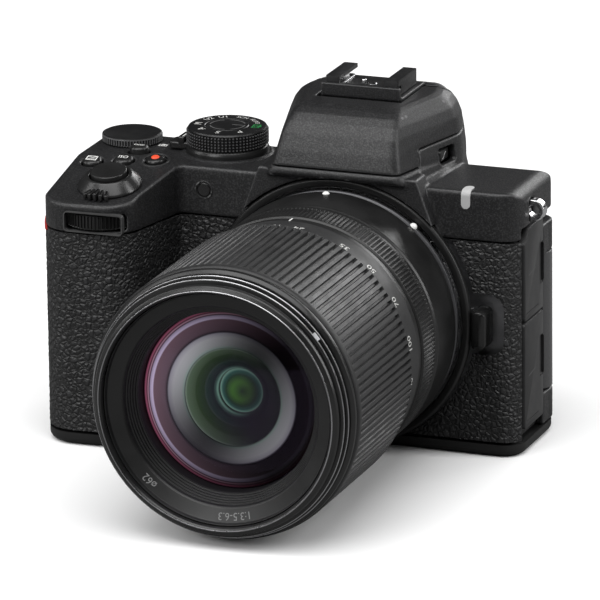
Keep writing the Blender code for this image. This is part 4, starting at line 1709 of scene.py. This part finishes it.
def shutter_release():
    cap = [
        (0.0, 4.05), (2.0, 4.12), (3.6, 4.35), (4.5, 4.6), (4.85, 4.45), (4.9, 4.1), (4.9, -1.2), (0.0, -1.2)
    ]
    satin = satin_plastic("release_satin", 0.28, 0.02)
    deck_lathe(
        "shutter_button_cap", cap, SHUTTER, satin, "shutter_button", 72, None, ["shutter_button"], 0.15
    )
    ring_rows = [(5.3, 3.3), (5.9, 3.5), (6.3, 3.3), (8.5, 0.9), (8.7, 0.5), (8.6, 0.2), (5.3, 0.2)]
    dark = satin_plastic("switch_satin", 0.26, 0.022)
    deck_lathe("power_ring", ring_rows, SHUTTER, dark, "power_switch", 96, None, ["power_switch"], 0.2)
    for number in range(5):
        turn = math.radians(250 + number * 9)
        rib = [(7.0, -0.45, 0.2), (10.4, -0.5, 0.3), (10.4, 0.5, 0.3), (7.0, 0.45, 0.2)]
        points = [
            (
                x * math.cos(turn) - y * math.sin(turn), x * math.sin(turn) + y * math.cos(turn), r
            ) for x, y, r in rib
        ]
        made = slab(
            f"power_tab_rib_{number}",
            points,
            0.4,
            2.5 - abs(number - 2) * 0.25,
            dark,
            "power_switch",
            edge=0.3,
        )
        for vert in made.data.vertices:
            vert.co.rotate(Quaternion((1, 0, 0), TILT))
            vert.co += Vector((*SHUTTER, deck(SHUTTER[1]))) * MM


def deck_buttons():
    plastic = satin_plastic("button_plastic", 0.3, 0.02)
    cap = [(0.0, 1.0), (1.9, 0.92), (2.35, 0.7), (2.6, 0.3), (2.65, -3.2), (0.0, -3.2)]
    white = ink("button_white", (0.8, 0.8, 0.78))
    marks = {
        "exposure_button": [
            frame_mark(-1.5, -1.2, 1.5, 1.2, 0.28),
            bar(-1.3, -1.0, 1.3, 1.0, 0.25),
            bar(-1.0, 0.5, -0.3, 0.5, 0.22),
            bar(0.3, -0.5, 1.0, -0.5, 0.22),
        ],
        "iso_button": [text_shape("ISO", 1.9)],
        "picture_button": [text_shape("DISP", 1.5)],
    }
    for name, x, y, radius in TOP_BUTTONS[1:]:
        extra = 0.7 if name == "picture_button" else 0.0
        rows = [(r, h + extra if h > 0 else h) for r, h in cap]
        deck_lathe(name + "_cap", rows, (x, y), plastic, name, 48, None, [name], 0.12)
        if name in marks:
            printed(name + "_mark", marks[name], on_deck(x, y, 1.04 + extra), white, name)
    red = ink("record_red", (0.75, 0.07, 0.02))
    dot = [(0.0, 1.35), (0.8, 1.25), (1.15, 1.0), (1.15, 0.6), (0.0, 0.6)]
    deck_lathe("record_dot", dot, TOP_BUTTONS[3][1:3], red, "record_button", 32, None, (), 0.1)
    rim = [(4.0, 0.25), (3.6, 0.3), (3.2, 0.1), (3.2, -0.4), (4.2, -0.4)]
    deck_lathe("record_rim", rim, TOP_BUTTONS[3][1:3], deck_paint(), "camera_body", 48, None, (), 0.08)


# ---- The front and the sides ----


def front_window_frame():
    """The raised rim round the front dial's window, in a lighter grey that is a painted highlight."""
    outer = rounded(rectangle(-69.3, 59.8, -52.5, 65.4, 1.1), 5)
    inner = rounded(rectangle(-69.0, 60.1, -52.8, 65.1, 0.8), 5)
    rings = [(outer, -36.8), (outer, -38.62), (inner, -38.62), (inner, -36.8)]
    rows = np.stack([place(points, height, "Y") for points, height in rings])
    faces = grid_faces(*rows.shape[:2], True, True)
    piece(
        "front_window_rim",
        mesh_of("front_window_rim", rows.reshape(-1, 3), faces),
        # the lighter grey is a painted highlight
        satin_plastic("window_rim", 0.35, 0.09),
        "camera_body",
    )


def focus_lamp():
    rows = [(0.0, 12.15), (1.6, 12.3), (1.9, 12.2), (1.95, 11.0), (0.0, 11.0)]
    lathe("focus_lamp", rows, FOCUS_LAMP, satin_plastic("lamp_dark", 0.12, 0.01), "camera_body", "Y", 40)
    rim = [(2.6, 11.8), (2.5, 12.3), (2.15, 12.3), (2.05, 11.8)]
    lathe("focus_lamp_rim", rim, FOCUS_LAMP, deck_paint(), "camera_body", "Y", 40, ease=0.05)


def status_strip():
    """A pale strip that folds over the deck's front edge."""
    path = [(-7.6, 73.06), (-11.0, 73.08), (-12.0, 72.2), (-12.12, 68.2)]
    line = resampled(np.array(eased([(a, b) for a, b in path], 0.8, False, 4))[:, :2], 0.3)
    points = []
    for k, (y, z) in enumerate(line):
        left = min(k, len(line) - 1 - k) * 0.3
        half = 1.25 * math.sqrt(min(1.0, max(0.05, left / 1.25) * (2 - min(1.0, left / 1.25))))
        points += [(34.6 - half, y, z), (34.6, y - 0.06, z + 0.03), (34.6 + half, y, z)]
    made = rough(mesh_of("status_strip", points, grid_faces(len(line), 3, False, False), False))
    thick = made.modifiers.new("thickness", "SOLIDIFY")
    thick.thickness = 0.35 * MM
    thick.offset = 0.0
    settle(made)
    pale = ink("strip_grey", (0.42, 0.42, 0.42), "black_plastic")
    dress(made, pale, "camera_body")
    made.name = "status_strip"


def release_button():
    corners = [(41.4, 30.7, 1.6), (41.4, 41.5, 1.6), (37.2, 41.5, 1.2), (37.2, 30.7, 1.2)]
    mesh = loft_mesh(
        "release_cap", stepped(corners, ((0.9, -16.6), (0.35, -16.35), (0.0, -15.6), (0.0, -10.2)), 6), "Y"
    )
    piece(
        "lens_release_cap",
        mesh,
        satin_plastic("release_gloss", 0.2, 0.012),
        "lens_release_button",
        ["lens_release_button"],
    )


def function_buttons():
    plastic = satin_plastic("function_plastic", 0.35, 0.016)
    cap = [(0.0, 12.9), (2.0, 13.0), (2.9, 12.8), (3.2, 12.3), (3.2, 10.0), (0.0, 10.0)]
    for number, height in ((1, 43.0), (2, 27.0)):
        node = f"function_button_{number}"
        lathe(node + "_cap", cap, (-41.5, 0, height), plastic, node, "Y", 48, None, [node], 0.2)


def door(name, outline, body, node):
    """A rubber port cover with a finger groove and an arrow."""
    base = loft_mesh(name, stepped(outline, ((0.0, 47.7), (0.0, 49.2), (0.12, 49.45), (0.4, 49.6)), 5), "X")
    low, high = min(z for _, z, _ in outline), max(z for _, z, _ in outline)
    groove = rough_box((49.15, 4.2, high - 18.0), (52, 8.0, high - 6.5), 0.7, "X")
    seam = [rough_box((49.45, -6.9, z), (52, 3.0, z + 0.22), 0.05, "X") for z in (low + 2.0,)]
    made = shaped(rough(base), (), [groove, *seam])
    dress(made, rubber(), body, [node], 35)
    made.name = name
    middle_z = (low + high) / 2
    printed(
        name + "_arrow", [
            bar(-4.6, middle_z - 0.4, 0.8, middle_z + 0.4, 0.25)
        ], lambda y, z: (49.62, y, z), ink("door_mark", (0.09, 0.09, 0.09), "black_rubber"), body
    )
    ridge = [
        (7.15, high - 17.5, 0.3), (7.15, high - 7.0, 0.3), (6.75, high - 7.0, 0.2), (6.75, high - 17.5, 0.2)
    ]
    slab(name + "_ridge", ridge, 49.1, 49.75, rubber(), body, "X", 0.1)


def port_panel():
    """The panel behind the port covers, with its sockets."""
    outline = [(7.9, 4.2, 0.5), (7.9, 62.6, 0.5), (-9.6, 62.6, 0.5), (-9.6, 4.2, 0.5)]
    made = rough(loft_mesh("panel", slab_rings(outline, 45.2, 47.2, 0.1), "X"))
    sockets = {
        "microphone_jack": ("round", -1.0, 55.0, 2.0),
        "headphone_jack": ("round", -1.0, 45.0, 2.0),
        "picture_socket": ("flat", -1.0, 27.0, 3.4),
        "data_socket": ("flat", -1.0, 14.0, 4.3),
    }
    room = []
    for kind, y, z, half in sockets.values():
        if kind == "round":
            room.append(rough_drum(half, 46.0, 60, (0, y, z), "X"))
        else:
            room.append(rough_box((46.0, y - 1.5, z - half), (60, y + 1.5, z + half), 1.2, "X"))
    shaped(made, (), room)
    dress(made, satin_plastic("port_panel_black", 0.5, 0.01), "camera_body")
    made.name = "port_panel"
    for name, (kind, y, z, half) in sockets.items():
        if kind == "round":
            rows = [(half - 0.1, 46.1), (half - 0.1, 47.3), (half - 0.5, 47.4), (half - 0.6, 46.1)]
            lathe(name, rows, (0, y, z), bright_metal(name + "_metal"), "camera_body", "X", 32, ease=0.05)
        else:
            outer = rectangle(y - 1.4, z - half + 0.1, y + 1.4, z + half - 0.1, 1.1)
            inner = inset([(outer[k][0], outer[k][1], 1.1) for k in range(4)], 0.3)
            rings = [
                (rounded(outer, 5), 46.1),
                (rounded(outer, 5), 47.3),
                (rounded(inner, 5), 47.3),
                (rounded(inner, 5), 46.1),
            ]
            rows = np.stack([place(points, height, "X") for points, height in rings])
            faces = grid_faces(*rows.shape[:2], True, True)
            piece(
                name, mesh_of(name, rows.reshape(-1, 3), faces), bright_metal(name + "_metal"), "camera_body"
            )
            blade = [
                (y + 0.35, z + half - 1.2, 0.1),
                (y + 0.35, z - half + 1.2, 0.1),
                (y - 0.35, z - half + 1.2, 0.1),
                (y - 0.35, z + half - 1.2, 0.1),
            ]
            slab(
                name + "_tongue",
                blade[::-1],
                46.0,
                47.1,
                satin_plastic("tongue_black", 0.4),
                "camera_body",
                "X",
                0.08,
            )


def port_doors():
    upper = [
        (7.3, 37.0, 0.8),
        (7.3, 62.2, 0.8),
        (-3.8, 62.2, 0.6),
        (-5.0, 60.2, 1.0),
        (-7.9, 58.6, 1.0),
        (-7.9, 37.0, 1.2),
    ]
    lower = [(7.3, 7.1, 0.8), (7.3, 36.5, 0.8), (-7.9, 36.5, 1.2), (-7.9, 7.1, 1.2)]
    door("upper_port_cover", upper, "port_door_upper", "port_door_upper")
    door("lower_port_cover", lower, "port_door_lower", "port_door_lower")


def strap_lugs():
    metal = bright_metal("lug_metal", 0.16)
    for node, root, tip in (("strap_lug_right", 46.0, 53.15), ("strap_lug_left", -74.3, -80.55)):
        sign = 1 if tip > 0 else -1
        eye_x = tip - sign * 2.95
        turns = [math.radians(k * 12 - 90) for k in range(16)]
        outline = [(eye_x + sign * 2.95 * math.cos(t), 66.4 + 2.95 * math.sin(t)) for t in turns]
        outline += [(root, 69.3), (root, 63.5)]
        hole = [
            (eye_x + 1.55 * math.cos(k * math.pi / 16), 66.4 + 1.55 * math.sin(k * math.pi / 16))
            for k in range(32)
        ]
        made = rough(loft_mesh(node, [(outline, -2.5), (outline, 0.5)], "Y"))
        shaped(made, (), [rough(loft_mesh("eye", [(hole, -9), (hole, 9)], "Y"))])
        cast(made, 0.2, 5)
        dress(made, metal, "camera_body", [node], 0)
        made.name = node + "_metal"
        rim = [
            (3.9, 46.9 if sign > 0 else 75.1),
            (3.9, 48.9 if sign > 0 else 77.1),
            (3.3, 49.2 if sign > 0 else 77.4),
            (3.2, 46.9 if sign > 0 else 75.1),
        ]
        lathe(
            node + "_collar",
            [(r, sign * h) for r, h in rim],
            (0, -1.0, 66.4),
            satin_plastic("collar_black", 0.3),
            "camera_body",
            "X",
            48,
            ease=0.1,
        )


def hot_shoe():
    """A plate with folded rails, spring strips and contacts."""
    metal = dark_metal()
    plate = rough_box((-10.3, 3.6, 92.7), (10.3, 18.1, 96.8), 0.4)
    room = [
        rough_box((-8.9, 4.6, 93.5), (8.9, 40, 95.7), 0.05, "Y"),
        rough_box((-6.5, 4.6, 93.5), (6.5, 40, 99), 0.05, "Y"),
        rough_box((-6.5, 0, 95.0), (6.5, 10, 99), 0.05, "Y"),
        rough_box((-20, 0, 93.3), (-9.95, 5.6, 95.2), 0.05, "Y"),
        rough_box((9.95, 0, 93.3), (20, 5.6, 95.2), 0.05, "Y"),
    ]
    made = shaped(plate, (), room)
    bevel = made.modifiers.new("edges", "BEVEL")
    bevel.width = 0.14 * MM
    bevel.segments = 2
    bevel.limit_method = "ANGLE"
    settle(made)
    dress(made, metal, "camera_body", ["hot_shoe"])
    made.name = "hot_shoe_rails"
    for side in (-1, 1):
        strip = [(side * 8.6, 6.0), (side * 7.0, 6.0), (side * 7.0, 17.4), (side * 8.6, 17.4)]
        strip = strip if side < 0 else strip[::-1]
        corners = [(x, y, 0.2) for x, y in strip][::-1]
        slab(
            f"shoe_spring_{'left' if side < 0 else 'right'}",
            corners,
            93.6,
            94.0,
            bright_metal("spring_metal", 0.25),
            "camera_body",
            edge=0.08,
        )
    pads = ((0, 11.0, 1.5), (-3.4, 7.6, 0.8), (3.4, 7.6, 0.8), (-3.4, 14.2, 0.8))
    for number, (x, y, radius) in enumerate(pads):
        rows = [(0.0, 93.72), (radius * 0.8, 93.7), (radius, 93.5), (radius, 93.3), (0.0, 93.3)]
        lathe(
            f"shoe_contact_{number}",
            rows,
            (x, y, 0),
            bright_metal("contact_metal", 0.2),
            "camera_body",
            "Z",
            28,
            ease=0.05,
        )


def finder_tower():
    """The block under the shoe, with a painted front."""
    made = rough_box((-11.6, 2.6, 74.0), (11.6, 20.7, 92.4), 0.5)
    lip = rough_box((-11.2, 2.1, 91.8), (11.2, 3.35, 95.1), 0.3)
    pin = rough_drum(1.1, -14.0, 14.0, (0, 17.5, 88.5), "X", 24)
    room = [rough_box((-9.8, 4.4, 60), (9.8, 40, 87.6), 0.4)]
    shaped(made, [lip, pin], room)
    cast(made, 0.3, 3)
    dress(made, crackle_paint(), "camera_body", ["evf_housing"], 0)
    made.name = "finder_tower"


def flash_release():
    corners = [(9.3, 75.5, 0.9), (9.3, 78.8, 0.9), (2.7, 78.8, 0.9), (2.7, 75.5, 0.9)]
    mesh = loft_mesh(
        "flash_release", stepped(corners, ((0.0, 19.2), (0.0, 21.8), (0.3, 22.25), (0.8, 22.4)), 6), "X"
    )
    piece(
        "flash_release_cap",
        mesh,
        satin_plastic("flash_release_plastic", 0.3, 0.014),
        "flash_button",
        ["flash_button"],
    )
    mark = [bar(4.3, 76.4, 5.6, 77.1, 0.25), bar(5.6, 77.1, 5.2, 77.1, 0.2), bar(5.2, 77.1, 6.6, 77.9, 0.25)]
    printed(
        "flash_release_mark", mark, lambda y, z: (22.43, y, z), ink(
            "flash_white", (0.7, 0.7, 0.7)
        ), "flash_button"
    )


# ---- The back and the base ----


def rear_cover():
    made = body_block(3.8, SEAM - 0.15, 0.0, 0.15)
    foot = [rough_drum(5.2, 3.8, 12.5, (44.3, 14.2, 0)), rough_drum(5.2, 51.2, SEAM - 0.15, (44.3, 14.2, 0))]
    thumb = rough_prism(
        [(-48.5, 14.0, 0.2), (-48.5, 20.6, 1.6), (-53.0, 21.6, 2.0), (-60.5, 17.2, 0.8), (-60.5, 14.0, 0.2)],
        47.0,
        59.3,
        "Z",
    )
    corners = [(min(x, 36.5), min(y, 12.7), r) for x, y, r in inset(BODY_CORNERS, 2.0)]
    cavity = rough(loft_mesh("cavity", [(rounded(corners), 5.5), (rounded(corners), 57.5)]))
    room = [
        cavity,
        rough_box((-90, -60, -9), (90, 8.15, 90)),
        rough_box((-31.8, 14.7, 6.5), (39.6, 40, 90), 1.0, "Y"),
        rough_box((38.9, 8.4, 12.5), (60, 40, 51.2)),
        rough_drum(9.4, 13.6, 30, (-53.5, 0, 36.5), "B", 64),
        rough_box((47.3, -8.4, 6.6), (60, 7.7, 70), 0.8, "X"),
    ]
    for x, z in ((-47.0, 20.0), (-64.0, 52.0)):
        room.append(rough_drum(3.2, 12.4, 30, (x, 0, z), "B"))
    shaped(made, [*foot, thumb], room)
    cast(made, 0.42, 5)
    dress(made, crackle_paint(), "camera_body", ["rear_cover"], 0)
    made.name = "rear_cover_shell"


def screen():
    made = rough(
        lathe_mesh(
            "hinge",
            [(0.0, 50.9), (5.0, 50.9), (5.2, 50.7), (5.2, 13.0), (5.0, 12.8), (0.0, 12.8)],
            (44.3, 14.2, 0),
            "Z",
            96,
            None,
            False,
        )
    )
    shaped(made, [rough_box((36.5, 15.1, 16.0), (44.3, 19.2, 48.0), 0.3)])
    dress(made, crackle_paint(), "screen", ["screen_hinge"])
    made.name = "screen_hinge_drum"
    outline = [(38.3, 7.0, 2.0), (38.3, 63.0, 2.0), (-31.2, 63.0, 2.0), (-31.2, 7.0, 2.0)]
    rings = stepped(outline, ((0.4, 15.0), (0.0, 15.4), (0.0, 18.9), (0.35, 19.3), (0.6, 19.4)), 6)
    panel = rough(loft_mesh("panel", rings, "Y"))
    shaped(
        panel,
        (),
        [
            rough_box((36.1, 10, 15.6), (60, 30, 48.4), 0.3, "Y"),
            rough_box((-27.5, 19.0, 10.5), (34.5, 22, 56.5), 0.8, "Y"),
        ],
    )
    dress(panel, satin_plastic("screen_frame", 0.4, 0.014), "screen", ["screen_panel"])
    panel.name = "screen_frame"
    cover = [(34.3, 10.7, 0.7), (34.3, 56.3, 0.7), (-27.3, 56.3, 0.7), (-27.3, 10.7, 0.7)]
    slab("screen_cover_glass", cover, 18.6, 19.15, screen_black(), "screen", "Y", 0.08)
    for number, z in enumerate((20.0, 32.0, 44.0)):
        rows = [(0.0, 0.35), (0.7, 0.3), (0.95, 0.0), (0.0, 0.0)]
        lathe(f"hinge_rivet_{number}", rows, (41.0, 19.2, z), dark_metal(), "screen", "B", 20, ease=0)


def rear_controls():
    plastic = satin_plastic("rear_button_plastic", 0.34, 0.018)
    white = ink("rear_white", (0.7, 0.7, 0.7))
    pad = [
        (0.0, 18.0),
        (3.0, 18.0),
        (3.2, 17.6),
        (3.5, 17.6),
        (3.9, 18.3),
        (8.2, 18.6),
        (8.9, 18.1),
        (9.0, 17.4),
        (9.0, 14.4),
        (0.0, 14.4),
    ]
    lathe(
        "selector_pad",
        pad,
        (-53.5, 0, 36.5),
        plastic,
        "multi_selector",
        "B",
        96,
        None,
        ["multi_selector"],
        0.2,
    )
    arrows = [shifted(bar(-0.5, 6.4, 0.5, 6.4, 0.35), 0, 0, math.radians(turn)) for turn in (0, 90, 180, 270)]
    printed(
        "selector_marks",
        [*arrows, shifted(text_shape("OK", 2.0), 0, 0)],
        seen_from_behind(-53.5, 36.5, 18.62),
        white,
        "multi_selector",
    )
    cap = [(0.0, 18.2), (2.2, 18.1), (2.7, 17.8), (2.9, 17.2), (2.9, 14.4), (0.0, 14.4)]
    marks = {
        "menu_button": [bar(-1.2, y, 1.2, y, 0.25) for y in (-0.8, 0.0, 0.8)],
        "info_button": [text_shape("i", 2.6)],
        "playback_button": [([(-0.8, -1.1), (1.2, 0.0), (-0.8, 1.1)], [[0, 1, 2]])],
        "delete_button": [frame_mark(-0.8, -1.1, 0.8, 0.7, 0.22), bar(-1.1, 1.0, 1.1, 1.0, 0.22)],
    }
    for name, (x, z) in REAR_BUTTONS.items():
        lathe(name + "_cap", cap, (x, 0, z), plastic, name, "B", 48, None, [name], 0.15)
        printed(name + "_mark", marks[name], seen_from_behind(x, z, 18.24), white, name)


REAR_BUTTONS = {
    "menu_button": (-47.0, 20.0),
    "info_button": (-64.0, 52.0),
    "playback_button": (27.5, 67.3),
    "delete_button": (36.5, 67.3),
}


def seen_from_behind(x0, z0, y):
    return lambda x, z: (x0 - x, y, z0 + z)


def eyepiece():
    cup = rectangle(-17.5, 73.4, 17.5, 91.0, 5.0)
    outer = [(0.6, 24.3), (0.0, 24.7), (0.0, 26.0), (0.5, 26.9), (1.4, 27.35), (2.2, 27.4)]
    rings = [(rounded(inset(cup, depth), 8), height) for depth, height in outer]
    hole = rectangle(-10.0, 76.0, 10.0, 86.0, 2.0)
    for grow, height in ((-2.3, 27.1), (-1.6, 26.2), (-0.7, 25.3), (0.0, 24.6), (0.0, 24.3)):
        rings.append(
            (
                rounded(
                    [
                        (
                            x + (grow if x < 0 else -grow), z + (grow if z < 80 else -grow), 2.0 - grow
                        ) for x, z, _ in hole
                    ],
                    8,
                ),
                height,
            )
        )
    rows = np.stack([place(points, height, "Y") for points, height in rings])
    faces = grid_faces(*rows.shape[:2], True, True)
    piece(
        "eyecup_rubber",
        mesh_of("eyecup_rubber", rows.reshape(-1, 3), faces),
        rubber(),
        "camera_body",
        ["eyecup"],
        50,
    )
    glass = rectangle(-9.2, 76.8, 9.2, 85.2, 1.0)
    rings = stepped(glass, ((0.0, 20.7), (0.0, 22.8), (1.2, 23.2), (2.6, 23.4)), 6)
    piece(
        "finder_glass",
        loft_mesh("finder_glass", rings, "Y"),
        coated_glass("finder_coating", (0.6, 0.7, 0.9)),
        "camera_body",
        ["eyepiece_lens"],
    )


def base():
    corners = BODY_CORNERS
    rings = stepped(corners, ((2.2, 0.0), (1.5, 0.15), (0.6, 0.7), (0.1, 1.5), (0.0, 2.0), (0.0, 3.5)), 10)
    made = rough(loft_mesh("base", rings))
    room = [rough_box((-74.9, -33.8, -5), (-51.9, -1.7, 9), 1.0), rough_drum(3.2, -5, 9, (0, 6.5, 0))]
    shaped(made, (), room)
    dress(made, satin_plastic("base_plastic", 0.5, 0.013), "camera_body", ["bottom_cover"])
    made.name = "base_cover"
    lathe(
        "tripod_bush",
        [(5.0, 0.02), (5.0, 3.4), (3.25, 3.4), (3.25, 0.3), (3.55, 0.02)],
        (0, 6.5, 0),
        bright_metal("bush_metal", 0.3),
        "camera_body",
        "Z",
        64,
        ease=0.05,
    )
    for number, (x, y) in enumerate(
        ((44.0, -6.0), (44.0, 12.0), (20.0, 12.5), (-20.0, 12.5), (-30.0, -7.0), (-68.0, 11.0))
    ):
        rows = [(0.0, 0.35), (0.5, 0.3), (0.6, 0.1), (1.5, 0.03), (1.6, 0.5), (0.0, 0.5)]
        lathe(f"base_screw_{number}", rows, (x, y, 0), dark_metal(), "camera_body", "Z", 24, ease=0)


def battery_door():
    corners = [(-53.6, -33.4, 0.8), (-53.6, -2.1, 0.8), (-74.5, -2.1, 0.8), (-74.5, -33.4, 0.8)]
    made = rough(loft_mesh("door", slab_rings(corners, 0.0, 1.9, 0.2, 3, 0.4)))
    knuckle = rough_drum(1.2, 4.0, 31.4, (-53.5, 0, 1.2), "Y", 24)
    shaped(made, [knuckle], [rough_box((-73.4, -22.4, -5), (-66.6, -13.6, 9), 0.5)])
    dress(made, satin_plastic("door_plastic", 0.5, 0.013), "battery_door", ["battery_door"])
    made.name = "battery_door_panel"
    latch = rough(
        loft_mesh(
            "latch",
            slab_rings(
                [(-69.0, -22.0, 0.4), (-69.0, -14.0, 0.4), (-73.1, -14.0, 0.4), (-73.1, -22.0, 0.4)],
                0.2,
                1.7,
                0.1,
            ),
        )
    )
    grooves = [
        rough_box((-73.5, y, -1), (-68.5, y + 0.5, 0.45), 0.05, "X")
        for y in (-20.8, -19.4, -18.0, -16.6, -15.2)
    ]
    shaped(latch, (), grooves)
    dress(latch, satin_plastic("latch_plastic", 0.45, 0.016), "battery_latch", ["battery_latch"])
    latch.name = "battery_latch_slider"


def red_accent():
    """The small red bar on the grip's side, under the strap lug."""
    sections = []
    for step in range(13):
        share = step / 12
        turn = math.radians(160 + 58 * share)
        low, high = 58.6, 58.9 + 2.9 * min(1.0, 1.6 * (1 - share))
        corners = ((8.6, low), (9.15, low), (9.15, high), (8.6, high))
        sections.append(
            [(-68.5 + radius * math.cos(turn), -29.5 + radius * math.sin(turn), z) for radius, z in corners]
        )
    swept("grip_accent", sections, ink("accent_red", (0.36, 0.010, 0.008)), "camera_body")


STEPS = (
    camera,
    studio,
    mount_rings,
    rear_barrel,
    control_ring,
    zoom_ring,
    front_barrel,
    filter_ring,
    lens_glass,
    rim_lines,
    hood_stop,
    top_cover,
    front_cover,
    bezel_band,
    flash_cap,
    leathers,
    mode_dial,
    selector_lever,
    rear_dial,
    front_dial,
    shutter_release,
    deck_buttons,
    front_window_frame,
    focus_lamp,
    status_strip,
    release_button,
    function_buttons,
    port_panel,
    port_doors,
    strap_lugs,
    hot_shoe,
    finder_tower,
    flash_release,
    rear_cover,
    screen,
    rear_controls,
    eyepiece,
    base,
    battery_door,
    red_accent,
    inside_finishes,
)
for step in STEPS:
    step()
